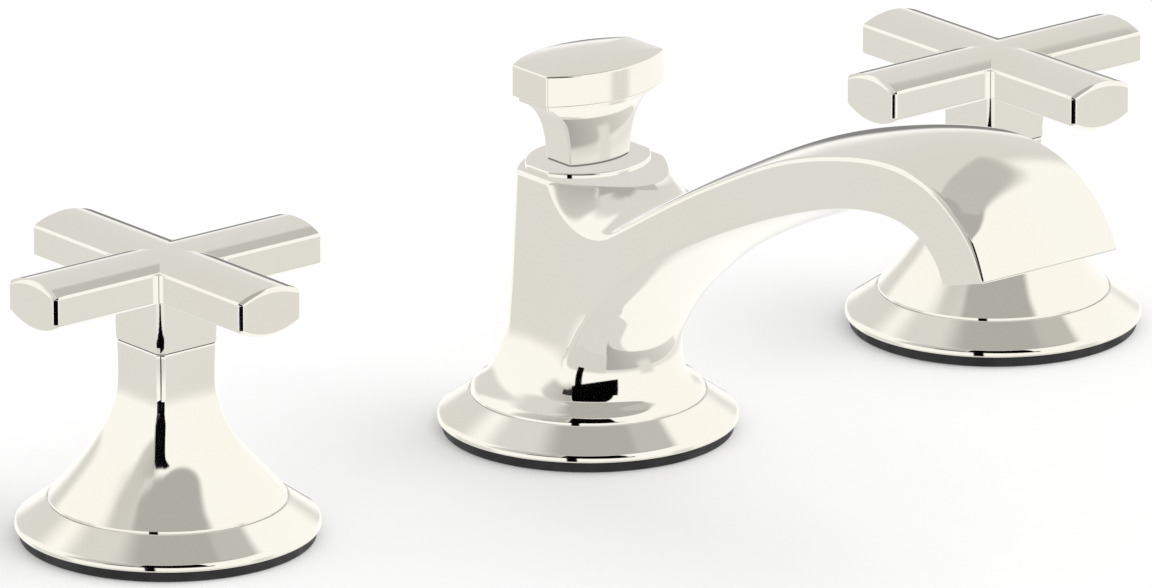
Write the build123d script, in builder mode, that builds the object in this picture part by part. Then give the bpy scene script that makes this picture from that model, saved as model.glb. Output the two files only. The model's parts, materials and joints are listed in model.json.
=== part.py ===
from build123d import *
import os
from math import atan2, cos, pi, sin, sqrt, tan

# Widespread bathroom faucet: a spout with a pull-up drain knob and two cross handles.
# Millimetres. +Z is up and the deck is at Z = 0. The origin is on the upright axis of the
# spout, -Y is the front, towards which the spout reaches, and the hot handle is at -X.

os.makedirs("parts", exist_ok=True)

# Placing
centre_distance = 203.2
deck_thickness = 22.0
running_clearance = 0.05
joint_gap = 0.2
face_gap = 0.05
overrun = 1.0

# Base rings and gaskets, alike under the spout and both handles
ring_radius = 28.75
ring_edge_height = 1.3
ring_edge_bevel = 0.4
ring_height = 7.6
ring_crown_radius = 22.9
ring_seat_height = 6.6
ring_bore_radius = 16.2
ring_wall = 2.2
gasket_radius = 27.9
gasket_thickness = 2.2
foot_radius = 22.4
foot_edge_height = 8.1

# Deck fastenings, alike on all three columns
thread_radius = 13.2
washer_radius = 20.0
rubber_washer_thickness = 3.0
metal_washer_thickness = 1.5
nut_flange_radius = 18.5
nut_flange_thickness = 2.0
nut_across_flats = 32.0
nut_height = 7.5

# Spout body
spout_reach = 134.3
arm_root_reach = 21.4
arm_height = 81.5
body_half_width = 13.9
tip_half_width = 16.4
shoulder_height = 53.2
shoulder_bevel = 1.2
shoulder_front = 4.0
shoulder_back = 5.0
column_back = 7.3
column_bow = 6.9
shoulder_front_bow = 7.2
scoop_radius = 13.3
scoop_sink = 0.15
arm_crown = 2.3
arm_belly = 2.4
column_base_height = 21.0
flank_margin = 3.0
plate_thickness = 1.0
plate_half_width = 12.4
plate_half_depth = 3.3
plate_bow = 7.5
spigot_radius = 16.0
spigot_height = 4.6
shank_socket_depth = 10.0

# Outlet and waterway
waterway_radius = 3.5
waterway_offset = 8.2
aerator_length = 24.0
aerator_width = 7.6
aerator_depth = 9.0
aerator_corner = 1.9
aerator_recess = 0.4
aerator_wall = 1.0
aerator_lip = 0.8
screen_thickness = 1.2
screen_margin = 1.0
screen_slot_width = 0.9
screen_slot_count = 9
seal_thickness = 1.4
seal_flat_count = 8

# Lift rod and knob
rod_radius = 3.0
rod_below_deck = 64.0
rod_end_bevel = 0.6
rod_bore_radius = 3.5
knob_rest_gap = 0.3
bush_radius = 5.0
bush_depth = 12.0
rod_seal_radius = 0.9
knob_height = 19.4
knob_cap_thickness = 6.3
knob_cap_step = 1.0
knob_half_length = 14.4
knob_half_depth = 5.2
knob_bow = 4.8
knob_dome = 1.0
knob_step_inset = 0.9
knob_neck_half_length = 7.35
knob_neck_half_depth = 3.5
knob_neck_bow = 1.9
knob_socket_depth = 13.0

# Spout shank and inlet tube
shank_length = 38.0
inlet_tube_radius = 4.0
inlet_tube_bore = 3.0
inlet_tube_length = 22.0
inlet_tube_socket = 8.0

# Bell under each handle
bell_height = 38.3
bell_neck_corner = 9.1
bell_neck_side = 7.0
bell_neck_height = 33.0
bell_top_corner = 9.25
bell_top_side = 7.1
corner_flat = 1.4
corner_crown = 0.04
bell_bore_radius = 4.6
bell_floor_height = 10.0
bell_cavity_radius = 15.0
bell_throat_height = 28.0
glide_ring_radius = 5.55
glide_ring_height = 2.2
glide_ring_rise = 0.1

# Cross handle
handle_span = 63.4
arm_width = 14.65
arm_flat_bottom = 49.0
arm_flat_top = 54.6
arm_top_bow = 1.7
arm_bottom_bow = 2.1
arm_end_bevel = 0.75
inner_corner_flat = 2.2
hub_bottom = 38.5
hub_bottom_corner = 9.4
hub_bottom_side = 7.2
hub_top_corner = 9.75
socket_radius = 5.65
socket_depth = 11.5
adapter_length = 9.0
adapter_rise = 0.5
set_screw_radius = 2.0
set_screw_length = 2.4
set_screw_height = 43.5
hex_key_size = 1.8
hex_key_depth = 1.2

# Valve and cartridge
stem_radius = 4.0
stem_top = 47.5
stem_end_bevel = 0.5
stem_foot_thickness = 3.4
stem_collar_radius = 6.0
stem_collar_thickness = 1.2
dog_width = 2.4
dog_height = 1.2
dog_inner = 5.0
disc_radius = 6.4
disc_thickness = 3.5
port_angle = 70.0
port_inner = 1.8
port_outer = 5.0
seat_seal_thickness = 2.5
seat_seal_bore = 3.6
cartridge_radius = 8.5
cartridge_bore = 6.9
cartridge_length = 37.0
cartridge_roof_depth = 4.0
cartridge_hex = 17.0
cartridge_hex_height = 4.0
window_width = 5.0
window_height = 4.5
window_drop = 1.0
stem_seal_radius = 0.9
stem_seal_height = 3.0
supply_tube_radius = 5.2
supply_tube_bore = 3.5
supply_tube_depth = 22.0
gallery_radius = 10.5
gallery_top_depth = 2.0
gallery_depth = 49.0
valve_neck_radius = 11.2
valve_neck_height = 13.0
valve_thread_height = 10.0
valve_block_height = 16.0
valve_block_flats = 29.0
valve_depth = 64.0
inlet_radius = 10.3
inlet_length = 12.0
inlet_bore_radius = 7.0
inlet_spigot_radius = 8.5
inlet_spigot_height = 1.5
outlet_collar_radius = 7.9
outlet_collar_length = 3.0
outlet_radius = 7.1
outlet_bore_radius = 4.5
outlet_length = 11.0

# Shares that give the curves their shape
# Arm: each row is one cross-section, from the tip back into the column. It gives where the
# section meets the upper and the lower edge of the flank, as shares of reach and level,
# then how much the top is crowned and the underside bellied, as shares of arm_crown and arm_belly.
# A reach share of 1 is at arm_root_reach and 2 at the tip; a level share of 1 is at the
# shoulder and 2 at the arm's top.
arm_station_shares = [
    (2.0000, 1.4312, 1.8966, 1.3137, 0.35, 0.85),
    (1.9690, 1.6498, 1.8852, 1.3941, 0.45, 0.85),
    (1.9163, 1.8292, 1.8649, 1.4891, 0.62, 0.85),
    (1.8517, 1.9467, 1.8254, 1.5839, 0.80, 0.90),
    (1.7752, 1.9951, 1.7740, 1.6351, 0.95, 0.92),
    (1.6986, 1.9772, 1.7153, 1.6345, 1.00, 0.96),
    (1.5933, 1.8926, 1.6221, 1.5703, 1.00, 1.00),
    (1.4746, 1.7446, 1.5060, 1.4226, 1.00, 1.04),
    (1.3384, 1.4957, 1.3744, 1.2080, 1.00, 1.10),
    (1.2110, 1.2296, 1.2465, 0.9814, 1.00, 1.25),
    (1.1042, 0.9915, 1.1425, 0.8614, 1.00, 1.60),
    (1.0000, 0.8654, 1.0647, 0.7508, 1.00, 2.10),
    (0.4355, 0.7422, 1.0061, 0.6463, 1.00, 2.50),
    (-0.1287, 0.6192, 0.8052, 0.5480, 1.00, 2.80),
    (-0.6025, 0.5023, 0.6470, 0.4653, 1.00, 3.00),
    (-0.8799, 0.3882, 0.5209, 0.3896, 1.00, 3.10),
]
column_row_count = 5
# Foot of the body: level, then front edge, back edge and half width of the flanks, and the
# bows of the front, the back and the flanks, as shares of foot_radius
body_foot_shares = [
    (0.000, 0.7000, 0.7000, 0.7140, 0.3000, 0.3000, 0.2860),
    (0.095, 0.6700, 0.6800, 0.7000, 0.2850, 0.2840, 0.2640),
    (0.210, 0.5700, 0.6000, 0.6720, 0.2950, 0.2530, 0.1900),
    (0.370, 0.5000, 0.5090, 0.6560, 0.3214, 0.2500, 0.1050),
    (0.560, 0.4710, 0.4360, 0.6430, 0.3326, 0.2720, 0.0400),
    (0.780, 0.4732, 0.3790, 0.6330, 0.3348, 0.2900, 0.0080),
]
# Bell: level share between its foot edge and its waist, then the shares by which the corner
# and the side have opened from the waist to the round foot
bell_shares = [
    (0.0000, 1.0000, 1.0000),
    (0.0667, 0.8897, 0.9019),
    (0.1458, 0.7574, 0.7872),
    (0.2851, 0.5368, 0.5782),
    (0.4004, 0.3676, 0.3974),
    (0.5221, 0.2191, 0.2244),
    (0.6386, 0.1103, 0.0929),
    (0.7350, 0.0478, 0.0288),
    (0.8273, 0.0140, 0.0064),
    (1.0000, 0.0000, 0.0000),
]
# Inside of the bell: radius as a share of the cavity's, level share up to the bore
bell_cavity_shares = [(1.0, 0.0), (0.95, 0.11), (0.76, 0.34), (0.64, 0.48), (0.515, 0.64), (0.42, 0.81)]
# Knob neck: level share up to the cap's step, and how far its outline has opened towards it
knob_neck_shares = [
    (0.0, 0.0), (0.21, 0.04), (0.42, 0.11), (0.60, 0.21), (0.76, 0.37), (0.90, 0.62), (1.0, 0.90)
]
# Knob crown: size share of the cap's outline, share of the dome's height
knob_crown_shares = [(1.00, 0.00), (0.90, 0.30), (0.72, 0.62), (0.45, 0.89), (0.12, 1.00)]
# Waterway: level share of its first turn, then its corners as shares of reach and level
waterway_turn_share = 0.677
waterway_shares = [(1.448, 1.505), (1.759, 1.876), (1.936, 1.487)]
# Bend radius at each of its corners, as a share of its diameter
waterway_bend_shares = [1.6, 3.2, 3.2]

handle_offset = centre_distance / 2
tip_splay = (tip_half_width - body_half_width) / spout_reach


def column_plane(at):
    """Upright plane through a column's axis, with its X outwards and its Y up."""
    return Plane(origin=(at, 0, 0), x_dir=(1, 0, 0), z_dir=(0, -1, 0))


def column_axis(at):
    return Axis((at, 0, 0), (0, 0, 1))


def turned(points, at=0, mode=Mode.ADD):
    """Turn a closed outline of (radius, level) points about a column's axis."""
    with BuildSketch(column_plane(at)) as outline:
        with BuildLine():
            Polyline(*points, close=True)
        make_face()
    revolve(outline.sketch, axis=column_axis(at), mode=mode)


def disc(radius, bottom, top, at=0, mode=Mode.ADD):
    """An upright cylinder on a column's axis, between two levels."""
    with BuildSketch(Plane((at, 0, bottom))) as outline:
        Circle(radius)
    extrude(outline.sketch, amount=top - bottom, mode=mode)


def hexagon(across_flats, bottom, top, at=0, mode=Mode.ADD):
    with BuildSketch(Plane((at, 0, bottom))) as outline:
        RegularPolygon(across_flats / 2, 6, major_radius=False)
    extrude(outline.sketch, amount=top - bottom, mode=mode)


def seal_ring(major, minor, level, at=0, mode=Mode.ADD):
    """Ring seal whose cord has flats, the widest ones towards its bore and its groove."""
    with BuildSketch(column_plane(at)) as outline:
        with Locations((major, level)):
            RegularPolygon(minor, seal_flat_count, major_radius=False, rotation=180 / seal_flat_count)
    revolve(outline.sketch, axis=column_axis(at), mode=mode)


def save(piece, label):
    piece.part.label = label
    export_step(piece.part, f"parts/{label}.step")


def bowed_outline(plane, half_length, half_depth, bow):
    """A four-sided outline with straight ends and long sides that bow outwards."""
    with BuildSketch(plane) as outline:
        with BuildLine():
            Line((half_length, -half_depth), (half_length, half_depth))
            ThreePointArc((half_length, half_depth), (0, half_depth + bow), (-half_length, half_depth))
            Line((-half_length, half_depth), (-half_length, -half_depth))
            ThreePointArc((-half_length, -half_depth), (0, -half_depth - bow), (half_length, -half_depth))
        make_face()
    return outline.sketch


def rounded_square(plane, corner, side, flat):
    """A square with flattened corners, or a circle when the corner and side radii agree."""
    half_flat = flat / 2
    squareness = min(1, (corner - side) / half_flat)
    reach_out = sqrt(corner**2 + squareness * half_flat**2)
    half_angle = atan2(half_flat, corner)
    with BuildSketch(plane) as outline:
        with BuildLine():
            for turn in range(4):
                middle = pi / 4 + turn * pi / 2
                start, end = middle - half_angle, middle + half_angle
                next_start = start + pi / 2
                crown = corner + corner_crown * squareness
                ThreePointArc(
                    (reach_out * cos(start), reach_out * sin(start)),
                    (crown * cos(middle), crown * sin(middle)),
                    (reach_out * cos(end), reach_out * sin(end)),
                )
                ThreePointArc(
                    (reach_out * cos(end), reach_out * sin(end)),
                    (side * cos(middle + pi / 4), side * sin(middle + pi / 4)),
                    (reach_out * cos(next_start), reach_out * sin(next_start)),
                )
        make_face()
    return outline.sketch


def flank_half_width(y):
    """Half width of the spout at y: its flanks are flat and splay towards the tip."""
    return body_half_width - tip_splay * y


# Levels and radii that follow from the sizes above
thread_bore = thread_radius + running_clearance
foot_level = ring_height + ring_edge_bevel
plate_top = shoulder_height + plate_thickness
knob_bottom = plate_top + knob_rest_gap
knob_rim = knob_bottom + knob_height
cap_bottom = knob_rim - knob_cap_thickness


# Base rings, gaskets and deck fastenings
def base_set(prefix, at):
    """The gasket and ring on the deck, and the washers and nut below it, on one column."""
    with BuildPart() as gasket:
        disc(gasket_radius, 0, gasket_thickness, at)
        disc(ring_bore_radius, 0, gasket_thickness, at, Mode.SUBTRACT)
    save(gasket, f"{prefix}_gasket")

    edge_top = gasket_thickness + ring_edge_height
    with BuildPart() as base_ring:
        turned(
            [
                (ring_bore_radius, gasket_thickness),
                (ring_radius - ring_edge_bevel, gasket_thickness),
                (ring_radius, gasket_thickness + ring_edge_bevel),
                (ring_radius, edge_top),
                (ring_crown_radius, ring_height),
                (ring_crown_radius - ring_edge_bevel, ring_height),
                (ring_crown_radius - ring_edge_bevel, ring_seat_height),
                (ring_bore_radius, ring_seat_height),
            ],
            at,
        )
        turned(
            [
                (ring_bore_radius + ring_wall, gasket_thickness),
                (ring_crown_radius + ring_wall / 2, gasket_thickness),
                (ring_crown_radius - ring_wall, ring_seat_height - ring_wall),
                (ring_bore_radius + ring_wall, ring_seat_height - ring_wall),
            ],
            at,
            Mode.SUBTRACT,
        )
    save(base_ring, f"{prefix}_base_ring")

    rubber_bottom = -deck_thickness - rubber_washer_thickness
    metal_bottom = rubber_bottom - metal_washer_thickness
    nut_bottom = metal_bottom - nut_height
    with BuildPart() as rubber_washer:
        disc(washer_radius, rubber_bottom, -deck_thickness, at)
        disc(thread_bore, rubber_bottom, -deck_thickness, at, Mode.SUBTRACT)
    save(rubber_washer, f"{prefix}_rubber_washer")
    with BuildPart() as metal_washer:
        disc(washer_radius, metal_bottom, rubber_bottom, at)
        disc(thread_bore, metal_bottom, rubber_bottom, at, Mode.SUBTRACT)
    save(metal_washer, f"{prefix}_metal_washer")
    with BuildPart() as lock_nut:
        disc(nut_flange_radius, metal_bottom - nut_flange_thickness, metal_bottom, at)
        hexagon(nut_across_flats, nut_bottom, metal_bottom - nut_flange_thickness, at)
        disc(thread_bore, nut_bottom, metal_bottom, at, Mode.SUBTRACT)
    save(lock_nut, f"{prefix}_lock_nut")


for prefix, at in (("spout", 0), ("hot", -handle_offset), ("cold", handle_offset)):
    base_set(prefix, at)


# Spout body
def arm_reach(share):
    """Reach on the arm: a share up to 1 stays in the column, and the rest goes on to the tip."""
    return min(share, 1) * arm_root_reach + max(share - 1, 0) * (spout_reach - arm_root_reach)


def arm_level(share):
    """Level on the arm: a share up to 1 climbs to the shoulder, and the rest on to the arm's top."""
    return min(share, 1) * shoulder_height + max(share - 1, 0) * (arm_height - shoulder_height)


def arm_section(upper_y, upper_z, lower_y, lower_z, crown, belly):
    """One cross-section of the arm, square to its flanks and a little wider than they are."""
    upper = Vector(0, -arm_reach(upper_y), arm_level(upper_z))
    lower = Vector(0, -arm_reach(lower_y), arm_level(lower_z))
    across = Vector(1, 0, 0)
    up = (upper - lower).normalized()
    depth = (upper - lower).length
    half_width = flank_half_width(upper.Y)
    wide = half_width + flank_margin
    rise = arm_crown * crown
    sag = arm_belly * belly
    rise_end = rise * (1 - (wide / half_width) ** 2)
    sag_end = sag * (1 - (wide / half_width) ** 2)
    plane = Plane(origin=lower, x_dir=across, z_dir=across.cross(up))
    with BuildSketch(plane) as section:
        with BuildLine():
            Line((wide, -sag_end), (wide, depth + rise_end))
            ThreePointArc((wide, depth + rise_end), (0, depth + rise), (-wide, depth + rise_end))
            Line((-wide, depth + rise_end), (-wide, -sag_end))
            ThreePointArc((-wide, -sag_end), (0, -sag), (wide, -sag_end))
        make_face()
    return section.sketch


def flank_outline(level, back, bow, inset=0):
    """Plan outline that trims the body: two splayed flanks and a bowed back."""
    front = -spout_reach - flank_margin
    front_width = flank_half_width(front) - inset
    back_width = flank_half_width(back) - inset
    with BuildSketch(Plane.XY.offset(level)) as outline:
        with BuildLine():
            Line((-front_width, front), (front_width, front))
            Line((front_width, front), (back_width, back))
            ThreePointArc((back_width, back), (0, back + bow), (-back_width, back))
            Line((-back_width, back), (-front_width, front))
        make_face()
    return outline.sketch


def foot_section(level, front, back, half_width, front_bow, back_bow, side_bow):
    side = half_width + side_bow
    middle = (back - front) / 2
    with BuildSketch(Plane.XY.offset(level)) as outline:
        with BuildLine():
            ThreePointArc((half_width, -front), (side, middle), (half_width, back))
            ThreePointArc((half_width, back), (0, back + back_bow), (-half_width, back))
            ThreePointArc((-half_width, back), (-side, middle), (-half_width, -front))
            ThreePointArc((-half_width, -front), (0, -front - front_bow), (half_width, -front))
        make_face()
    return outline.sketch


column_base = column_base_height
wide = body_half_width + flank_margin
behind = column_back + column_bow + flank_margin


def shoulder_section(x):
    """Upright slice of the shoulder: its front wall swings through the scoop into the arm."""
    nearer, further = arm_station_shares[-column_row_count], arm_station_shares[-column_row_count - 2]
    root_reach, root_level = arm_reach(nearer[0]), arm_level(nearer[1])
    slope = atan2(arm_level(further[1]) - root_level, arm_reach(further[0]) - root_reach)
    fall = 1 - (x / body_half_width) ** 2
    wall = -shoulder_front - shoulder_front_bow * fall
    centre_y = wall - scoop_radius
    line_z = root_level + (-root_reach - centre_y) * tan(slope)
    centre_z = line_z + arm_crown * fall + scoop_radius / cos(slope) - scoop_sink
    half_turn = (pi / 2 + slope) / 2
    foot = (centre_y - scoop_radius * sin(slope), centre_z - scoop_radius * cos(slope))
    middle = (centre_y + scoop_radius * cos(half_turn), centre_z - scoop_radius * sin(half_turn))
    with BuildSketch(Plane(origin=(x, 0, 0), x_dir=(0, 1, 0), z_dir=(1, 0, 0))) as section:
        with BuildLine():
            Polyline((behind, arm_height), (behind, column_base), (wall, column_base), foot)
            ThreePointArc(foot, middle, (wall, centre_z))
            Polyline((wall, centre_z), (wall, arm_height), (behind, arm_height))
        make_face()
    return section.sketch


back_taper = (column_back - shoulder_back) / (shoulder_height - column_base)
bevel_back = shoulder_back + back_taper * shoulder_bevel
with BuildPart() as shoulder:
    loft([shoulder_section(x) for x in (-wide, -wide / 2, 0, wide / 2, wide)])
    loft(
        [
            flank_outline(column_base, column_back, column_bow),
            flank_outline(shoulder_height - shoulder_bevel, bevel_back, column_bow),
            flank_outline(shoulder_height, shoulder_back - shoulder_bevel, column_bow, shoulder_bevel),
        ],
        ruled=True,
        mode=Mode.INTERSECT,
    )

with BuildPart() as upper_body:
    loft([arm_section(*row) for row in arm_station_shares])
    add(shoulder.part)
    trim_top = 2 * arm_height
    loft(
        [
            flank_outline(column_base, column_back, column_bow),
            flank_outline(trim_top, column_back - back_taper * (trim_top - column_base), column_bow),
        ],
        ruled=True,
        mode=Mode.INTERSECT,
    )

foot_height = column_base - foot_level
with BuildPart() as foot:
    foot_sections = [
        foot_section(foot_level + row[0] * foot_height, *[share * foot_radius for share in row[1:]])
        for row in body_foot_shares
    ]
    extrude(foot_sections[0], amount=ring_seat_height - foot_level)
    loft([*foot_sections, upper_body.faces().sort_by(Axis.Z)[0]])


def outlet_frame():
    """Plane of the outlet, at its middle, facing out of the spout."""
    upper_y, upper_z, lower_y, lower_z = arm_station_shares[0][:4]
    upper = Vector(0, -arm_reach(upper_y), arm_level(upper_z))
    lower = Vector(0, -arm_reach(lower_y), arm_level(lower_z))
    across = Vector(1, 0, 0)
    return Plane(origin=(upper + lower) * 0.5, x_dir=across, z_dir=across.cross(upper - lower))


outlet_plane = outlet_frame()


def outlet_block(length, width, corner, inner_end, outer_end, mode=Mode.ADD):
    """A block with rounded corners set square in the outlet, between two depths."""
    with BuildSketch(outlet_plane.offset(-inner_end)) as outline:
        RectangleRounded(length, width, corner)
    extrude(outline.sketch, amount=inner_end - outer_end, mode=mode)


spigot_bottom = ring_seat_height - spigot_height
shank_top = spigot_bottom + shank_socket_depth
bush_bottom = plate_top - bush_depth

with BuildPart() as spout_body:
    add(upper_body.part)
    add(foot.part)
    disc(spigot_radius, spigot_bottom, ring_seat_height)
    plate = bowed_outline(Plane.XY.offset(shoulder_height), plate_half_width, plate_half_depth, plate_bow)
    extrude(plate, amount=plate_thickness)
    disc(thread_bore, spigot_bottom, shank_top, mode=Mode.SUBTRACT)
    disc(rod_bore_radius, shank_top, plate_top, mode=Mode.SUBTRACT)
    disc(bush_radius, bush_bottom, plate_top, mode=Mode.SUBTRACT)
    with BuildLine(Plane.YZ) as route:
        FilletPolyline(
            (-waterway_offset, shank_top - overrun),
            (-waterway_offset, arm_level(waterway_turn_share)),
            *[(-arm_reach(along), arm_level(up)) for along, up in waterway_shares],
            radius=[2 * share * waterway_radius for share in waterway_bend_shares],
        )
    with BuildSketch(Plane((0, -waterway_offset, shank_top - overrun))) as waterway:
        Circle(waterway_radius)
    sweep(waterway.sketch, path=route.line, mode=Mode.SUBTRACT)
    outlet_block(aerator_length, aerator_width, aerator_corner, aerator_depth, -overrun, Mode.SUBTRACT)
save(spout_body, "spout_body")


# Aerator: the housing fills the outlet up to its seal and holds the screen on a lip
housing_length = aerator_length - 2 * running_clearance
housing_width = aerator_width - 2 * running_clearance
housing_corner = aerator_corner - running_clearance
housing_depth = aerator_depth - seal_thickness
cavity_length = housing_length - 2 * aerator_wall
cavity_width = housing_width - 2 * aerator_wall
cavity_corner = housing_corner - aerator_wall
lip_depth = aerator_recess + aerator_lip
mouth_length = cavity_length - 2 * aerator_lip
mouth_width = cavity_width - 2 * aerator_lip
mouth_corner = cavity_corner / 2

with BuildPart() as aerator_housing:
    outlet_block(housing_length, housing_width, housing_corner, housing_depth, aerator_recess)
    outlet_block(cavity_length, cavity_width, cavity_corner, housing_depth, lip_depth, Mode.SUBTRACT)
    outlet_block(mouth_length, mouth_width, mouth_corner, lip_depth, aerator_recess, Mode.SUBTRACT)
save(aerator_housing, "aerator_housing")

screen_length = cavity_length - 2 * running_clearance
screen_width = cavity_width - 2 * running_clearance
screen_pitch = mouth_length / screen_slot_count
with BuildPart() as aerator_screen:
    outlet_block(screen_length, screen_width, cavity_corner, lip_depth + screen_thickness, lip_depth)
    with BuildSketch(outlet_plane.offset(-lip_depth)) as slots:
        with GridLocations(screen_pitch, 0, screen_slot_count, 1):
            Rectangle(screen_slot_width, mouth_width - screen_margin)
    extrude(slots.sketch, amount=-screen_thickness, mode=Mode.SUBTRACT)
save(aerator_screen, "aerator_screen")

with BuildPart() as aerator_seal:
    outlet_block(housing_length, housing_width, housing_corner, aerator_depth, housing_depth)
    outlet_block(cavity_length, cavity_width, cavity_corner, aerator_depth, housing_depth, Mode.SUBTRACT)
save(aerator_seal, "aerator_seal")


# Lift rod with its bush and seal, in the body
rod_seal_top = bush_bottom + 2 * rod_seal_radius
rod_seal_major = rod_radius + running_clearance + rod_seal_radius
with BuildPart() as rod_seal:
    seal_ring(rod_seal_major, rod_seal_radius, bush_bottom + rod_seal_radius)
save(rod_seal, "rod_seal")

with BuildPart() as rod_bush:
    disc(bush_radius - running_clearance, rod_seal_top, plate_top)
    disc(rod_radius + running_clearance, rod_seal_top, plate_top, mode=Mode.SUBTRACT)
save(rod_bush, "rod_bush")

rod_top = knob_bottom + knob_socket_depth
with BuildPart() as lift_rod:
    disc(rod_radius, -rod_below_deck, rod_top)
    chamfer(lift_rod.edges().filter_by(GeomType.CIRCLE), length=rod_end_bevel)
save(lift_rod, "lift_rod")


# Lift knob: a flared neck under a thick cap, both with straight ends and bowed long sides
def knob_outline(level, opened, inset=0):
    """Outline of the knob, opened by a share of the way from its neck to its cap."""
    half_length = knob_neck_half_length + (knob_half_length - inset - knob_neck_half_length) * opened
    half_depth = knob_neck_half_depth + (knob_half_depth - inset - knob_neck_half_depth) * opened
    bow = knob_neck_bow + (knob_bow - knob_neck_bow) * opened
    return bowed_outline(Plane.XY.offset(level), half_length, half_depth, bow)


step_bottom = cap_bottom - knob_cap_step
with BuildPart() as lift_knob:
    loft([
        knob_outline(knob_bottom + (step_bottom - knob_bottom) * up, opened, knob_step_inset)
        for up, opened in knob_neck_shares
    ])
    extrude(knob_outline(step_bottom, 1, knob_step_inset), amount=knob_cap_step)
    extrude(knob_outline(cap_bottom, 1), amount=knob_cap_thickness)
    loft([
        bowed_outline(
            Plane.XY.offset(knob_rim + knob_dome * rise),
            knob_half_length * size,
            knob_half_depth * size,
            knob_bow * size,
        )
        for size, rise in knob_crown_shares
    ])
    disc(rod_radius + running_clearance, knob_bottom, rod_top, mode=Mode.SUBTRACT)
save(lift_knob, "lift_knob")


# Shank below the spout, with the rod's bore and the water inlet
with BuildPart() as spout_shank:
    disc(thread_radius, -shank_length, shank_top)
    disc(rod_bore_radius, -shank_length, shank_top, mode=Mode.SUBTRACT)
    tube_top = -shank_length + inlet_tube_socket
    with BuildSketch(Plane((0, -waterway_offset, -shank_length))) as socket:
        Circle(inlet_tube_radius + running_clearance)
    extrude(socket.sketch, amount=inlet_tube_socket, mode=Mode.SUBTRACT)
    with BuildSketch(Plane((0, -waterway_offset, tube_top))) as water_bore:
        Circle(inlet_tube_bore)
    extrude(water_bore.sketch, amount=shank_top - tube_top, mode=Mode.SUBTRACT)
save(spout_shank, "spout_shank")

with BuildPart() as spout_inlet_tube:
    with BuildSketch(Plane((0, -waterway_offset, -shank_length - inlet_tube_length))) as tube:
        Circle(inlet_tube_radius)
        Circle(inlet_tube_bore, mode=Mode.SUBTRACT)
    extrude(tube.sketch, amount=inlet_tube_length + inlet_tube_socket)
save(spout_inlet_tube, "spout_inlet_tube")


# Handles and valves. Levels in the stack, from the supply tube up through the discs to the stem
seat_bottom = -supply_tube_depth
fixed_disc_bottom = seat_bottom + seat_seal_thickness
moving_disc_bottom = fixed_disc_bottom + disc_thickness + face_gap
stem_foot_bottom = moving_disc_bottom + disc_thickness + face_gap
stem_foot_top = stem_foot_bottom + stem_foot_thickness
cartridge_roof = -cartridge_roof_depth
cartridge_bottom = valve_neck_height - cartridge_length
cartridge_top = valve_neck_height + cartridge_hex_height
adapter_bottom = hub_bottom + adapter_rise
block_bottom = -valve_depth + inlet_length
block_top = block_bottom + valve_block_height
spigot_top = block_bottom + inlet_spigot_height
outlet_level = (block_bottom + block_top) / 2
stem_bore = stem_radius + running_clearance


def ports(middle_turn, bottom, top, at):
    """Cut two opposite sector ports through a disc. The turn is that of the first port."""
    half_angle = port_angle / 2 * pi / 180
    for middle in (middle_turn, middle_turn + pi):
        turns = (middle - half_angle, middle, middle + half_angle)
        outer = [(port_outer * cos(turn), port_outer * sin(turn)) for turn in turns]
        inner = [(port_inner * cos(turn), port_inner * sin(turn)) for turn in turns]
        with BuildSketch(Plane((at, 0, bottom))) as outline:
            with BuildLine():
                ThreePointArc(*outer)
                Line(outer[-1], inner[-1])
                ThreePointArc(*inner)
                Line(inner[0], outer[0])
            make_face()
        extrude(outline.sketch, amount=top - bottom, mode=Mode.SUBTRACT)


def dogs(clearance, bottom, at, mode=Mode.ADD):
    """The two drive dogs between stem and moving disc, or the notches that take them."""
    inner = dog_inner - clearance
    outer = disc_radius + (overrun if mode == Mode.SUBTRACT else 0)
    middle = (inner + outer) / 2
    with BuildSketch(Plane((at, 0, bottom))) as outline:
        with Locations((0, middle), (0, -middle)):
            Rectangle(dog_width + 2 * clearance, outer - inner)
    extrude(outline.sketch, amount=dog_height + clearance, mode=mode)


def crosswise_bar(radius, level, inner_end, outer_end, at, mode=Mode.ADD):
    """A round bar or bore that points to the back from a column's axis."""
    with BuildSketch(Plane(origin=(at, inner_end, level), x_dir=(1, 0, 0), z_dir=(0, 1, 0))) as outline:
        Circle(radius)
    extrude(outline.sketch, amount=outer_end - inner_end, mode=mode)


def bell_outline(at, up, corner_opening, side_opening):
    """Outline of the bell's flare: square with flat corners at the neck, opening to a circle."""
    corner = bell_neck_corner + (foot_radius - bell_neck_corner) * corner_opening
    side = bell_neck_side + (foot_radius - bell_neck_side) * side_opening
    level = foot_edge_height + (bell_neck_height - foot_edge_height) * up
    return rounded_square(Plane((at, 0, level)), corner, side, corner_flat)


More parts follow.
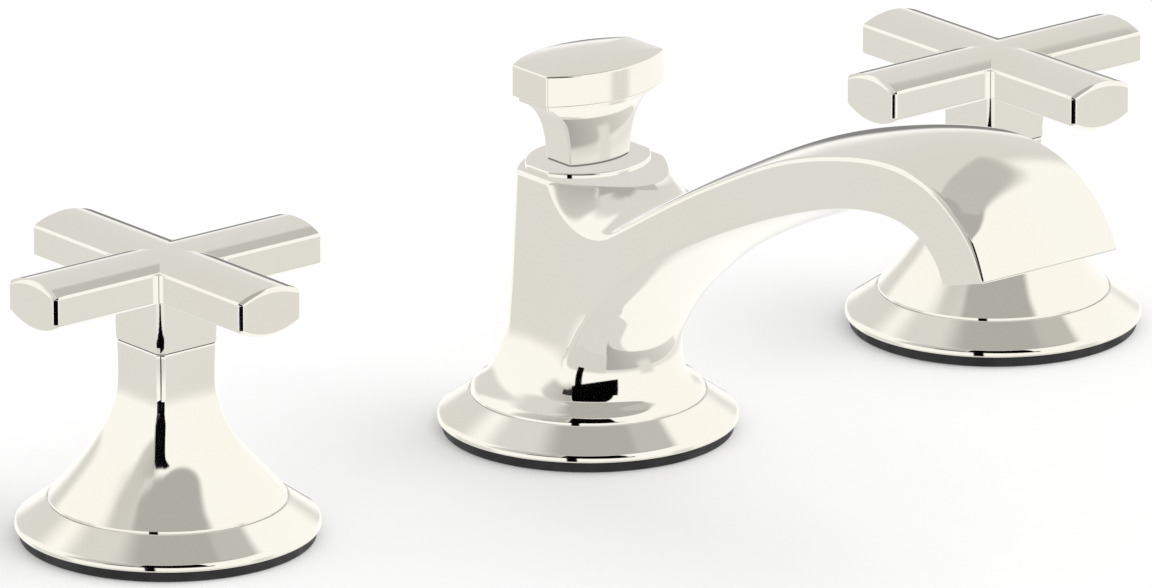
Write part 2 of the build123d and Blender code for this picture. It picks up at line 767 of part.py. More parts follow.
def bell_piece(prefix, at):
    glide_bottom = bell_height + glide_ring_rise - glide_ring_height
    cavity = [
        (bell_cavity_radius * size, bell_floor_height + (bell_throat_height - bell_floor_height) * up)
        for size, up in bell_cavity_shares
    ]
    with BuildPart() as bell:
        top = rounded_square(Plane((at, 0, bell_height)), bell_top_corner, bell_top_side, corner_flat)
        loft([*[bell_outline(at, *row) for row in bell_shares], top])
        disc(foot_radius, ring_seat_height, foot_edge_height, at)
        disc(thread_bore, ring_seat_height, bell_floor_height, at, Mode.SUBTRACT)
        turned(
            [
                (0, bell_floor_height),
                *cavity,
                (bell_bore_radius, bell_throat_height),
                (0, bell_throat_height),
            ],
            at,
            Mode.SUBTRACT,
        )
        disc(bell_bore_radius, bell_throat_height, bell_height, at, Mode.SUBTRACT)
        disc(glide_ring_radius + running_clearance, glide_bottom, bell_height, at, Mode.SUBTRACT)
    save(bell, f"{prefix}_bell")

    with BuildPart() as glide_ring:
        disc(glide_ring_radius, glide_bottom, glide_bottom + glide_ring_height, at)
        disc(stem_bore, glide_bottom, glide_bottom + glide_ring_height, at, Mode.SUBTRACT)
    save(glide_ring, f"{prefix}_glide_ring")


def arm_bar(at, along, across):
    """One bar of the cross: flat sides, a crowned top and a bellied underside."""
    half_width = arm_width / 2
    crown = (0, arm_flat_top + arm_top_bow)
    belly = (0, arm_flat_bottom - arm_bottom_bow)
    with BuildSketch(Plane(origin=(at, 0, 0), x_dir=across, z_dir=along)) as outline:
        with BuildLine():
            Line((half_width, arm_flat_bottom), (half_width, arm_flat_top))
            ThreePointArc((half_width, arm_flat_top), crown, (-half_width, arm_flat_top))
            Line((-half_width, arm_flat_top), (-half_width, arm_flat_bottom))
            ThreePointArc((-half_width, arm_flat_bottom), belly, (half_width, arm_flat_bottom))
        make_face()
    extrude(outline.sketch, amount=handle_span / 2, both=True)


def cross_pieces(prefix, at):
    half_width = arm_width / 2
    corner_reach = half_width * sqrt(2) + inner_corner_flat / 2
    screw_bore = set_screw_radius + running_clearance
    with BuildPart() as cross_handle:
        arm_bar(at, (1, 0, 0), (0, 1, 0))
        arm_bar(at, (0, 1, 0), (-1, 0, 0))
        ends = [
            cross_handle.faces().filter_by(axis).sort_by(axis)[place]
            for axis in (Axis.X, Axis.Y)
            for place in (0, -1)
        ]
        chamfer([edge for face in ends for edge in face.edges()], length=arm_end_bevel)
        with BuildSketch(Plane((at, 0, arm_flat_bottom))) as inner_corners:
            Rectangle(2 * corner_reach, 2 * corner_reach, rotation=45)
        extrude(inner_corners.sketch, amount=arm_flat_top - arm_flat_bottom)
        below, above = Plane((at, 0, hub_bottom)), Plane((at, 0, arm_flat_bottom))
        loft(
            [
                rounded_square(below, hub_bottom_corner, hub_bottom_side, corner_flat),
                rounded_square(above, hub_top_corner, half_width, inner_corner_flat),
            ],
            ruled=True,
        )
        disc(socket_radius, hub_bottom, hub_bottom + socket_depth, at, Mode.SUBTRACT)
        crosswise_bar(screw_bore, set_screw_height, 0, hub_bottom_side + overrun, at, Mode.SUBTRACT)
    save(cross_handle, f"{prefix}_cross_handle")

    with BuildPart() as stem_adapter:
        disc(socket_radius - running_clearance, adapter_bottom, adapter_bottom + adapter_length, at)
        disc(stem_bore, adapter_bottom, adapter_bottom + adapter_length, at, Mode.SUBTRACT)
        crosswise_bar(screw_bore, set_screw_height, 0, socket_radius, at, Mode.SUBTRACT)
    save(stem_adapter, f"{prefix}_stem_adapter")

    screw_end = stem_bore + set_screw_length
    key_plane = Plane(origin=(at, screw_end, set_screw_height), x_dir=(1, 0, 0), z_dir=(0, 1, 0))
    with BuildPart() as set_screw:
        crosswise_bar(set_screw_radius, set_screw_height, stem_bore, screw_end, at)
        with BuildSketch(key_plane) as key:
            RegularPolygon(hex_key_size / 2, 6, major_radius=False)
        extrude(key.sketch, amount=-hex_key_depth, mode=Mode.SUBTRACT)
    save(set_screw, f"{prefix}_set_screw")


def valve_pieces(prefix, at):
    collar_top = cartridge_roof - face_gap
    with BuildPart() as stem:
        disc(disc_radius, stem_foot_bottom, stem_foot_top, at)
        ports(0, stem_foot_bottom, stem_foot_top, at)
        disc(stem_radius, stem_foot_top, stem_top, at)
        disc(stem_collar_radius, collar_top - stem_collar_thickness, collar_top, at)
        dogs(0, stem_foot_bottom - dog_height, at)
        chamfer(stem.faces().sort_by(Axis.Z)[-1].edges(), length=stem_end_bevel)
    save(stem, f"{prefix}_stem")

    moving_disc_top = moving_disc_bottom + disc_thickness
    with BuildPart() as moving_disc:
        disc(disc_radius, moving_disc_bottom, moving_disc_top, at)
        ports(0, moving_disc_bottom, moving_disc_top, at)
        dogs(running_clearance, moving_disc_top - dog_height, at, Mode.SUBTRACT)
    save(moving_disc, f"{prefix}_moving_disc")

    fixed_disc_top = fixed_disc_bottom + disc_thickness
    with BuildPart() as fixed_disc:
        disc(disc_radius, fixed_disc_bottom, fixed_disc_top, at)
        ports(pi / 2, fixed_disc_bottom, fixed_disc_top, at)
    save(fixed_disc, f"{prefix}_fixed_disc")

    with BuildPart() as seat_seal:
        disc(cartridge_bore - running_clearance, seat_bottom, fixed_disc_bottom, at)
        disc(seat_seal_bore, seat_bottom, fixed_disc_bottom, at, Mode.SUBTRACT)
    save(seat_seal, f"{prefix}_seat_seal")

    seal_major = stem_bore + running_clearance + stem_seal_radius
    groove_radius = seal_major + stem_seal_radius + running_clearance
    groove_reach = stem_seal_radius + running_clearance
    groove_bottom, groove_top = stem_seal_height - groove_reach, stem_seal_height + groove_reach
    window_top = cartridge_roof - window_drop
    with BuildPart() as cartridge:
        disc(cartridge_radius, cartridge_bottom, valve_neck_height, at)
        hexagon(cartridge_hex, valve_neck_height, cartridge_top, at)
        disc(cartridge_bore, cartridge_bottom, cartridge_roof, at, Mode.SUBTRACT)
        disc(stem_bore, cartridge_roof, cartridge_top, at, Mode.SUBTRACT)
        disc(groove_radius, groove_bottom, groove_top, at, Mode.SUBTRACT)
        with BuildSketch(Plane((at, 0, window_top - window_height))) as windows:
            Rectangle(window_width, 2 * (cartridge_radius + overrun))
        extrude(windows.sketch, amount=window_height, mode=Mode.SUBTRACT)
    save(cartridge, f"{prefix}_cartridge")

    with BuildPart() as stem_seal:
        seal_ring(seal_major, stem_seal_radius, stem_seal_height, at)
    save(stem_seal, f"{prefix}_stem_seal")


def valve_body_piece(prefix, at):
    flat = valve_block_flats / 2
    collar_end = flat + outlet_collar_length
    with BuildPart() as valve_body:
        hexagon(valve_block_flats, block_bottom, block_top, at)
        disc(thread_radius, block_top, valve_thread_height, at)
        disc(valve_neck_radius, valve_thread_height, valve_neck_height, at)
        crosswise_bar(outlet_collar_radius, outlet_level, 0, collar_end, at)
        crosswise_bar(outlet_radius, outlet_level, 0, collar_end + outlet_length, at)
        disc(gallery_radius, -gallery_depth, -gallery_top_depth, at, Mode.SUBTRACT)
        crosswise_bar(outlet_bore_radius, outlet_level, 0, collar_end + outlet_length, at, Mode.SUBTRACT)
        disc(cartridge_radius + running_clearance, -gallery_top_depth, valve_neck_height, at, Mode.SUBTRACT)
        disc(supply_tube_radius, -gallery_depth, seat_bottom, at)
        disc(supply_tube_bore, block_bottom, seat_bottom, at, Mode.SUBTRACT)
        disc(inlet_spigot_radius + running_clearance, block_bottom, spigot_top, at, Mode.SUBTRACT)
    save(valve_body, f"{prefix}_valve_body")

    with BuildPart() as inlet_nipple:
        disc(inlet_radius, -valve_depth, block_bottom, at)
        disc(inlet_spigot_radius, block_bottom, spigot_top, at)
        disc(inlet_bore_radius, -valve_depth, spigot_top, at, Mode.SUBTRACT)
    save(inlet_nipple, f"{prefix}_inlet_nipple")


for prefix, at in (("hot", -handle_offset), ("cold", handle_offset)):
    bell_piece(prefix, at)
    cross_pieces(prefix, at)
    valve_pieces(prefix, at)
    valve_body_piece(prefix, at)
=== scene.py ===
"""Visual model of a widespread bathroom faucet: arched spout, lift knob and two cross handles.

Every plated surface is worked out with numpy as a function of two parameters, in millimetres,
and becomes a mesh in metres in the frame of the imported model. The fastenings and valves below
the deck keep their own solids and get finishes here.
"""

import json
import logging
import math
from dataclasses import astuple, dataclass, field
from enum import Enum
from typing import Optional, Sequence, Union

import bmesh
import bpy
import numpy as np
from mathutils import Matrix, Vector

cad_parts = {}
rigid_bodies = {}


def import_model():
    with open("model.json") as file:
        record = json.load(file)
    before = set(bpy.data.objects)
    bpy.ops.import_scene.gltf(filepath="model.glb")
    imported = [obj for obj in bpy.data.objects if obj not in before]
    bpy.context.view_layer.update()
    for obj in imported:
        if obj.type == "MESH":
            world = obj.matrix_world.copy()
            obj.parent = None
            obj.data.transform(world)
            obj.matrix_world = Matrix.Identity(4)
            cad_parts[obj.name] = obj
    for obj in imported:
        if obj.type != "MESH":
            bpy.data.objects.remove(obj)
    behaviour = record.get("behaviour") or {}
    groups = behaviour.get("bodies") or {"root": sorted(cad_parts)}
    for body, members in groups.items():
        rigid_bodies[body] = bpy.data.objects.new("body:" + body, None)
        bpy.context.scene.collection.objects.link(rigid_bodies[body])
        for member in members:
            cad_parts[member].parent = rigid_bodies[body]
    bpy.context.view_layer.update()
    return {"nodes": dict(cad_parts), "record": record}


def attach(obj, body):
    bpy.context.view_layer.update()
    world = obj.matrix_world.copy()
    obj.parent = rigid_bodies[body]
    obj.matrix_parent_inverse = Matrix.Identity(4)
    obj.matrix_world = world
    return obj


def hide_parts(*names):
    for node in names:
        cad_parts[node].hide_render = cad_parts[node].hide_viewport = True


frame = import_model()

log = logging.getLogger("faucet")
MM = 0.001  # metres in a millimetre
MERGE_DISTANCE = 2e-6  # metres within which two points become one
SLIVER = 1e-7  # metres under which an edge or face is dissolved
HANDLE_OFFSET = 101.6
FLAT_CROWN = 0.012
TINY = 1e-4
WHITE = (1, 1, 1, 1)


class Slot(Enum):
    """The record's material slots."""

    NICKEL = "polished_nickel"
    BRASS = "brass"
    STEEL = "steel"
    RUBBER = "black_rubber"
    CERAMIC = "ceramic"
    PLASTIC = "white_plastic"


class Body(Enum):
    """The bodies that move on their own."""

    ROOT = "root"
    HOT = "hot_handle"
    COLD = "cold_handle"
    LIFT = "lift_rod_and_knob"


# Curves and outlines


def spline(
    knots: np.ndarray,
    values: np.ndarray,
    at: np.ndarray,
    end: Optional[np.ndarray] = None,
) -> np.ndarray:
    """Cubic spline through rows of values, with free ends or a given slope at the last.

    The second derivatives at the knots solve the usual three-term equations, and between two
    knots the curve is the blend of their values and second derivatives.

    Args:
        knots: Rising places of the rows, of length n.
        values: Rows to pass through, n by k.
        at: Places at which the curve is wanted.
        end: Slope at the last knot, or None for a free end.

    Returns:
        One row of k values for each place.
    """
    values = np.asarray(values, float).reshape(len(knots), -1)
    count, step = len(knots), np.diff(knots)
    rise = np.diff(values, axis=0) / step[:, None]
    system = np.zeros((count, count))
    right = np.zeros_like(values)
    middle = np.arange(1, count - 1)
    system[middle, middle - 1] = step[:-1]
    system[middle, middle] = 2 * (step[:-1] + step[1:])
    system[middle, middle + 1] = step[1:]
    right[1:-1] = 6 * np.diff(rise, axis=0)
    system[0, 0] = system[-1, -1] = 1
    if end is not None:
        system[-1, -2:] = step[-1], 2 * step[-1]
        right[-1] = 6 * (np.asarray(end) - rise[-1])
    bend = np.linalg.solve(system, right)
    at = np.asarray(at, float)
    cell = np.clip(np.searchsorted(knots, at, side="right") - 1, 0, count - 2)
    width = step[cell][:, None]
    far = (at - knots[cell])[:, None] / width
    near = 1 - far
    curved = (near**3 - near) * bend[cell] + (far**3 - far) * bend[cell + 1]
    return near * values[cell] + far * values[cell + 1] + width**2 / 6 * curved


def chord(points: np.ndarray) -> np.ndarray:
    """Distance run along a line of points, starting at zero."""
    return np.concatenate([[0.0], np.cumsum(np.linalg.norm(np.diff(points, axis=0), axis=1))])


def smooth_step(share: np.ndarray) -> np.ndarray:
    """Rises from 0 to 1 with level ends: 3 s squared minus 2 s cubed, on the clipped share."""
    share = np.clip(share, 0, 1)
    return share * share * (3 - 2 * share)


def soft_less(first: np.ndarray, second: np.ndarray, blend: np.ndarray) -> np.ndarray:
    """The smaller of two values, rounded where they differ by less than the blend.

    The plain minimum is lowered by h squared times a quarter of the blend, where h is the
    share of the blend that the difference leaves.

    Args:
        first: One value, or an array.
        second: The other.
        blend: Difference up to which the minimum is rounded.

    Returns:
        The rounded minimum.
    """
    blend = np.maximum(blend, 1e-9)
    share = np.maximum(blend - np.abs(first - second), 0) / blend
    return np.minimum(first, second) - share**2 * blend / 4


def ray_to_circle(turn: np.ndarray, across: float, along: float, radius: float) -> np.ndarray:
    """Distance from the origin, along rays at these angles, to a circle that holds the origin.

    With b the circle's centre measured along the ray, it is b plus the root of b squared
    less the centre's distance squared plus the radius squared.

    Args:
        turn: Angles of the rays.
        across: Place of the centre along x.
        along: Place of the centre along y.
        radius: The circle's radius.

    Returns:
        One distance for each angle.
    """
    b = across * np.cos(turn) + along * np.sin(turn)
    return b + np.sqrt(b**2 - across**2 - along**2 + radius**2)


def rounded_profile(
    points: Sequence, radii: Union[float, Sequence[float]], steps: int = 6
) -> np.ndarray:
    """Closed outline with its corners turned into arcs.

    Each corner is cut back by radius times the tangent of half its turn, and the arc is drawn
    as the normalised blend of the two cut directions about the arc's centre.

    Args:
        points: Corners in order, n by 2.
        radii: Radius of all corners, or of each.
        steps: Pieces per arc.

    Returns:
        The outline's points, n times (steps + 1) by 2.
    """
    points = np.asarray(points, float)
    radii = np.broadcast_to(np.asarray(radii, float), len(points))
    back = np.roll(points, 1, axis=0) - points
    ahead = np.roll(points, -1, axis=0) - points
    back /= np.linalg.norm(back, axis=1)[:, None]
    ahead /= np.linalg.norm(ahead, axis=1)[:, None]
    half = np.arccos(np.clip(np.sum(back * ahead, axis=1), -1, 1)) / 2
    bisector = back + ahead
    bisector /= np.linalg.norm(bisector, axis=1)[:, None]
    centre = points + bisector * (radii / np.sin(half))[:, None]
    start = points + back * (radii / np.tan(half))[:, None] - centre
    end = points + ahead * (radii / np.tan(half))[:, None] - centre
    share = np.linspace(0, 1, steps + 1)[None, :, None]
    sweep = (math.pi - 2 * half)[:, None, None]
    arc = np.sin((1 - share) * sweep) * start[:, None] + np.sin(share * sweep) * end[:, None]
    return (centre[:, None] + arc / np.sin(sweep)).reshape(-1, 2)


def ring_points(turn: np.ndarray) -> np.ndarray:
    """Points (cos, sin) of the unit circle at these angles."""
    return np.stack([np.cos(turn), np.sin(turn)], axis=-1)


def spun(points: np.ndarray, turn: float) -> np.ndarray:
    """Points turned about the upright axis, by cosine and sine that are exact at quarter turns."""
    cos, sin = round(math.cos(turn), 15), round(math.sin(turn), 15)
    x, y, *rest = np.moveaxis(points, -1, 0)
    return np.stack([x * cos - y * sin, x * sin + y * cos, *rest], axis=-1)


@dataclass(frozen=True)
class BowedOutline:
    """Four-sided outline with straight ends, long sides that bow out, and rounded corners."""

    half_length: float
    half_depth: float
    bow: float
    corner: float
    end_steps: int = 4
    corner_steps: int = 6
    side_steps: int = 24
    least_corner: float = 0.12

    def loop(self, inset: float = 0.0) -> np.ndarray:
        """Points of the outline moved inwards by inset.

        The long side is an arc of radius (l squared + b squared) / 2b. A corner's centre lies
        on the line x = l - r, at the distance R - r from the centre of that arc.

        Args:
            inset: How far every side moves inwards.

        Returns:
            Points in order, counter-clockwise, from the middle of the right end.
        """
        big = (self.half_length**2 + self.bow**2) / (2 * self.bow)
        centre = self.half_depth + self.bow - big
        big, length = big - inset, self.half_length - inset
        small = max(self.corner - inset, self.least_corner * self.corner)
        across = length - small
        up = math.sqrt((big - small) ** 2 - across**2)
        touch = math.atan2(up, across)
        corner_turn = np.linspace(0, touch, self.corner_steps + 1)
        side_turn = np.linspace(touch, math.pi / 2, self.side_steps + 1)[1:]
        end_level = np.linspace(0, centre + up, self.end_steps + 1)[:-1]
        quarter = np.concatenate(
            [
                np.column_stack([np.full(self.end_steps, length), end_level]),
                (across, centre + up) + small * ring_points(corner_turn),
                (0, centre) + big * ring_points(side_turn),
            ]
        )
        mirror = quarter[::-1][1:] * (-1, 1)
        return np.concatenate([quarter, mirror, quarter[1:] * (-1, -1), mirror[:-1] * (-1, -1)])


# Meshes


class Shell:
    """Grids and faces of one piece, in millimetres, joined into a mesh where they meet."""

    def __init__(self) -> None:
        """Starts with no points."""
        self.points: list[np.ndarray] = []
        self.faces: list[list[int]] = []
        self.count = 0

    def add(self, points: np.ndarray, faces: list) -> None:
        """Adds points with faces that count from the first of them."""
        self.points.append(points.reshape(-1, 3))
        self.faces += faces
        self.count += points.size // 3

    def grid(self, points: np.ndarray, closed: bool = False) -> None:
        """Adds a grid of four-sided faces over points of rows by columns by 3.

        Args:
            points: The surface, sampled on its two parameters.
            closed: Whether the last column joins the first.
        """
        rows, columns = points.shape[:2]
        index = np.arange(rows * columns).reshape(rows, columns) + self.count
        if closed:
            index = np.column_stack([index, index[:, 0]])
        quads = np.stack([index[:-1, :-1], index[:-1, 1:], index[1:, 1:], index[1:, :-1]], axis=-1)
        self.add(points, quads.reshape(-1, 4).tolist())

    def polygon(self, loop: np.ndarray) -> None:
        """Adds one flat face inside a loop of points."""
        self.add(loop, [list(range(self.count, self.count + len(loop)))])

    def stack(self, loops: np.ndarray, bottom: bool = True, top: bool = True) -> None:
        """Adds a skin over loops of equal length, with flat faces on its ends.

        Args:
            loops: Levels by points by 3.
            bottom: Whether the first loop is filled.
            top: Whether the last loop is filled.
        """
        self.grid(loops, closed=True)
        if bottom:
            self.polygon(loops[0])
        if top:
            self.polygon(loops[-1])

    def piece(self, name: str, sharp: float = 32.0) -> bpy.types.Object:
        """Makes the object: doubles merged, faces outwards, shading weighted by face area.

        Args:
            name: Name of the piece.
            sharp: Edges that turn by more degrees than this stay sharp.

        Returns:
            The new object, at the origin.
        """
        mesh = bpy.data.meshes.new(name)
        mesh.from_pydata((np.concatenate(self.points) * MM).tolist(), [], self.faces)
        work = bmesh.new()
        work.from_mesh(mesh)
        bmesh.ops.remove_doubles(work, verts=work.verts, dist=MERGE_DISTANCE)
        bmesh.ops.dissolve_degenerate(work, edges=work.edges, dist=SLIVER)
        bmesh.ops.recalc_face_normals(work, faces=work.faces)
        open_edges = sum(1 for edge in work.edges if not edge.is_manifold)
        work.to_mesh(mesh)
        work.free()
        mesh.shade_smooth()
        mesh.set_sharp_from_angle(angle=math.radians(sharp))
        piece = bpy.data.objects.new(name, mesh)
        bpy.context.scene.collection.objects.link(piece)
        weighted = piece.modifiers.new("face_area_shading", "WEIGHTED_NORMAL")
        weighted.keep_sharp = True
        weighted.weight = 50
        log.info("%s: %d faces, %d open edges", name, len(mesh.polygons), open_edges)
        return piece


def lifted(loops: np.ndarray, level: Union[float, np.ndarray], at: float = 0.0) -> np.ndarray:
    """Plan outlines as points, each outline at its own level, moved to a column at x."""
    height = np.broadcast_to(np.asarray(level)[..., None, None], (*loops.shape[:-1], 1))
    return np.concatenate([loops + (at, 0), height], axis=-1)


def turned(profile: np.ndarray, at: float, segments: int = 160) -> np.ndarray:
    """A closed outline of (radius, level) carried round a column's axis.

    The point at turn a is (at + r cos a, r sin a, level).

    Args:
        profile: Corners of the outline, n by 2.
        at: Place of the axis along x.
        segments: Steps of a whole turn.

    Returns:
        Points, n + 1 by segments by 3.
    """
    turn = np.arange(segments) * 2 * math.pi / segments
    closed = np.concatenate([profile, profile[:1]])
    radius, level = closed[:, :1], closed[:, 1:]
    level = np.broadcast_to(level, (len(closed), segments))
    return np.stack([at + radius * np.cos(turn), radius * np.sin(turn), level], axis=-1)


# Finishes


class Wire:
    """A socket with the plain arithmetic operators, which add Math nodes where they are used."""

    def __init__(self, paint: "Paint", socket: bpy.types.NodeSocket) -> None:
        """Wraps a socket of a paint's node tree."""
        self.paint = paint
        self.socket = socket

    def _math(self, operation: str, *values) -> "Wire":
        """One Math node over these values."""
        return self.paint.node("ShaderNodeMath", {"operation": operation}, *values)

    def __add__(self, other: Union["Wire", float]) -> "Wire":
        """Sum."""
        return self._math("ADD", self, other)

    __radd__ = __add__

    def __mul__(self, other: Union["Wire", float]) -> "Wire":
        """Product."""
        return self._math("MULTIPLY", self, other)

    __rmul__ = __mul__

    def __sub__(self, other: Union["Wire", float]) -> "Wire":
        """Difference."""
        return self._math("SUBTRACT", self, other)

    def __rsub__(self, other: Union["Wire", float]) -> "Wire":
        """Difference from a number."""
        return self._math("SUBTRACT", other, self)

    def size(self) -> "Wire":
        """Absolute value."""
        return self._math("ABSOLUTE", self)

    def sine(self) -> "Wire":
        """Sine of the value in radians."""
        return self._math("SINE", self)

    def arcsine(self) -> "Wire":
        """Angle in radians whose sine is the value."""
        return self._math("ARCSINE", self)

    def angle_from(self, other: "Wire") -> "Wire":
        """Angle in radians of the direction whose sine part is this and cosine part the other."""
        return self._math("ARCTAN2", self, other)

    def wrapped(self, middle: float) -> "Wire":
        """Difference from an angle in degrees, brought into the half turns about it."""
        return self._math("WRAP", self - middle, 180.0, -180.0)

    def between(
        self, low: float, high: float, out_low: float = 0.0, out_high: float = 1.0
    ) -> "Wire":
        """Maps low to high onto two outputs, with smooth ends."""
        settings = {"interpolation_type": "SMOOTHSTEP"}
        return self.paint.node("ShaderNodeMapRange", settings, self, low, high, out_low, out_high)


class Paint:
    """Node tree of one material or of the world."""

    def __init__(self, owner: Union[bpy.types.Material, bpy.types.World]) -> None:
        """Clears the owner's node tree."""
        owner.use_nodes = True
        self.tree = owner.node_tree
        self.tree.nodes.clear()

    def node(
        self, kind: str, settings: Optional[dict] = None, *values, out: Union[int, str] = 0, **named
    ) -> Wire:
        """Adds a node, sets it up and fills its sockets.

        Args:
            kind: Blender's name of the node type.
            settings: Properties of the node, set first.
            *values: Values or wires for the first sockets, in order.
            out: Output that the returned wire stands for.
            **named: Values or wires for sockets by name, with _ for a space.

        Returns:
            A wire on the output.
        """
        made = self.tree.nodes.new(kind)
        for key, value in (settings or {}).items():
            setattr(made, key, value)
        fills = list(zip(made.inputs, values))
        fills += [(made.inputs[name.replace("_", " ")], value) for name, value in named.items()]
        for socket, value in fills:
            if isinstance(value, Wire):
                self.tree.links.new(value.socket, socket)
            elif value is not None:
                socket.default_value = value
        return Wire(self, made.outputs[out] if made.outputs else None)

    def mix(
        self, share: Wire, first: Union[Wire, tuple], second: Union[Wire, tuple]
    ) -> Wire:
        """Colour mix of two colours or colour wires.

        Args:
            share: How much of the second colour.
            first: Colour, or a link to one.
            second: Colour, or a link to one.

        Returns:
            The mixed colour.
        """
        made = self.tree.nodes.new("ShaderNodeMix")
        made.data_type = "RGBA"
        for place, value in ((0, share), (6, first), (7, second)):
            socket = made.inputs[place]
            if isinstance(value, Wire):
                self.tree.links.new(value.socket, socket)
            else:
                socket.default_value = value if place == 0 else (*value, 1)
        return Wire(self, made.outputs[2])

    def place(self) -> Wire:
        """Object coordinates, in metres."""
        return self.node("ShaderNodeTexCoord", out="Object")

    def noise(self, scale: float, detail: float = 3.0, stretch: tuple = (1, 1, 1)) -> Wire:
        """Noise value on Object coordinates, at a scale per metre and a stretch per axis."""
        stretched = self.node("ShaderNodeMapping", {}, self.place(), Scale=stretch)
        return self.node("ShaderNodeTexNoise", {}, stretched, Scale=scale, Detail=detail)

    def surface(self, **sockets) -> None:
        """Ends the tree in a Principled shader with these sockets."""
        shader = self.node("ShaderNodeBsdfPrincipled", {}, **sockets)
        self.node("ShaderNodeOutputMaterial", {}, shader)


@dataclass(frozen=True)
class Finish:
    """Base of the finishes: a colour with slow variation, and fine relief."""

    colour: tuple
    rough: float
    metallic: float = 0.0
    patches: float = 38.0
    darker: float = 0.94
    wear: float = 240.0
    grain: float = 2600.0
    grain_depth: float = 0.00002

    def tone(self, paint: Paint) -> Wire:
        """The colour, a little uneven in patches of two or three centimetres."""
        darker = tuple(part * self.darker for part in self.colour)
        return paint.mix(paint.noise(self.patches).between(0.35, 0.7), self.colour, darker)

    def relief(self, paint: Paint) -> Wire:
        """Bump of the fine surface grain.

        Args:
            paint: The material's maker of nodes.

        Returns:
            The bumped normal.
        """
        height = paint.noise(self.grain)
        return paint.node(
            "ShaderNodeBump", {}, Strength=0.15, Distance=self.grain_depth, Height=height
        )

    def material(self, name: str) -> bpy.types.Material:
        """Makes the material.

        Args:
            name: The material's name.

        Returns:
            The material.
        """
        made = bpy.data.materials.new(name)
        paint = Paint(made)
        rough = paint.noise(self.wear).between(0.3, 0.7, self.rough * 0.85, self.rough * 1.2)
        paint.surface(
            Base_Color=self.tone(paint),
            Metallic=self.metallic,
            Roughness=rough,
            Normal=self.relief(paint),
        )
        return made


@dataclass(frozen=True)
class PolishedNickel(Finish):
    """Warm mirror plate: the buffing leaves a long faint waviness, and hands a little haze."""

    colour: tuple = (0.85, 0.826, 0.75)
    # Colour of the painted shade that ambient occlusion lays in seams and crevices.
    seam: tuple = (0.08, 0.07, 0.055)
    rough: float = 0.045
    metallic: float = 1.0
    haze: float = 0.035
    hairlines: float = 0.012
    swell: float = 0.0004
    # Reach, in metres, of the ambient occlusion behind the painted seam shade.
    seam_reach: float = 0.0009

    def material(self, name: str) -> bpy.types.Material:
        """Makes the material, with haze in soft patches and hairlines from wiping.

        Args:
            name: The material's name.

        Returns:
            The material.
        """
        made = bpy.data.materials.new(name)
        paint = Paint(made)
        haze = paint.noise(55.0, 4.0).between(0.48, 0.75, 0.0, self.haze)
        streaks = paint.noise(900.0, 2.0, (1.0, 1.0, 0.06))
        wiped = streaks.between(0.55, 0.8, 0.0, self.hairlines)
        height = paint.noise(46.0, 1.0)
        wave = paint.node("ShaderNodeBump", {}, Strength=0.06, Distance=self.swell, Height=height)
        paint.surface(
            Base_Color=self.tone(paint),
            Metallic=self.metallic,
            Roughness=haze + wiped + self.rough,
            Normal=wave,
        )
        return made

    def tone(self, paint: Paint) -> Wire:
        """Nickel's warmth, very slightly uneven, with painted shade that darkens seams and crevices
        by ambient occlusion.

        Args:
            paint: The material's maker of nodes.

        Returns:
            The colour.
        """
        warmer = (self.colour[0], self.colour[1] * 0.985, self.colour[2] * 0.96)
        # Painted shade: ambient occlusion darkens the colour in seams, creases and contact lines.
        painted_crevice_shade = paint.node(
            "ShaderNodeAmbientOcclusion", {"samples": 16}, out="AO", Distance=self.seam_reach
        )
        even = paint.mix(paint.noise(30.0).between(0.3, 0.75), self.colour, warmer)
        return paint.mix(painted_crevice_shade.between(0.30, 0.62), self.seam, even)


@dataclass(frozen=True)
class MachinedMetal(Finish):
    """Bare metal from the lathe: fine rings of tool marks up each column."""

    metallic: float = 1.0
    pitch: float = 0.00022
    wander: float = 3.0

    def relief(self, paint: Paint) -> Wire:
        """Bump of the tool marks: a sine along the height.

        Args:
            paint: The material's maker of nodes.

        Returns:
            The bumped normal.
        """
        height = paint.node("ShaderNodeSeparateXYZ", {}, paint.place(), out=2)
        marks = (height * (2 * math.pi / self.pitch) + paint.noise(60.0) * self.wander).sine()
        return paint.node(
            "ShaderNodeBump", {}, Strength=0.25, Distance=self.grain_depth, Height=marks
        )


def finishes() -> dict[Slot, bpy.types.Material]:
    """Makes one material for each slot."""
    made = {
        Slot.NICKEL: PolishedNickel(),
        Slot.BRASS: MachinedMetal((0.72, 0.53, 0.26), 0.24),
        Slot.STEEL: MachinedMetal((0.62, 0.61, 0.59), 0.28, pitch=0.00031),
        Slot.RUBBER: Finish((0.018, 0.018, 0.019), 0.62),
        Slot.CERAMIC: Finish((0.88, 0.87, 0.83), 0.08),
        Slot.PLASTIC: Finish((0.80, 0.80, 0.77), 0.42),
    }
    return {slot: finish.material(slot.value) for slot, finish in made.items()}


# Sub-assemblies


@dataclass
class Dresser:
    """Gives pieces their body, slot and material."""

    materials: dict[Slot, bpy.types.Material]

    def dress(self, piece: bpy.types.Object, body: Body, slot: Slot, *nodes: str) -> None:
        """Puts one new piece on its body in place of its solids.

        Args:
            piece: The new object.
            body: Body that it moves with.
            slot: Slot that its finish comes from.
            *nodes: Solids that it stands for.
        """
        piece.data.materials.append(self.materials[slot])
        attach(piece, body.value)
        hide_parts(*nodes)
        log.info("%s rides on %s for %s", piece.name, body.value, ", ".join(nodes))

    def dress_solids(self) -> None:
        """Gives every solid of the frame the finish of its slot."""
        for part in frame["record"]["subparts"]:
            solid = frame["nodes"][part["node"]]
            material = self.materials[Slot(part["material_slot"])]
            for place in range(len(solid.material_slots)):
                solid.material_slots[place].material = material
            log.info("%s is finished in %s", part["node"], part["material_slot"])


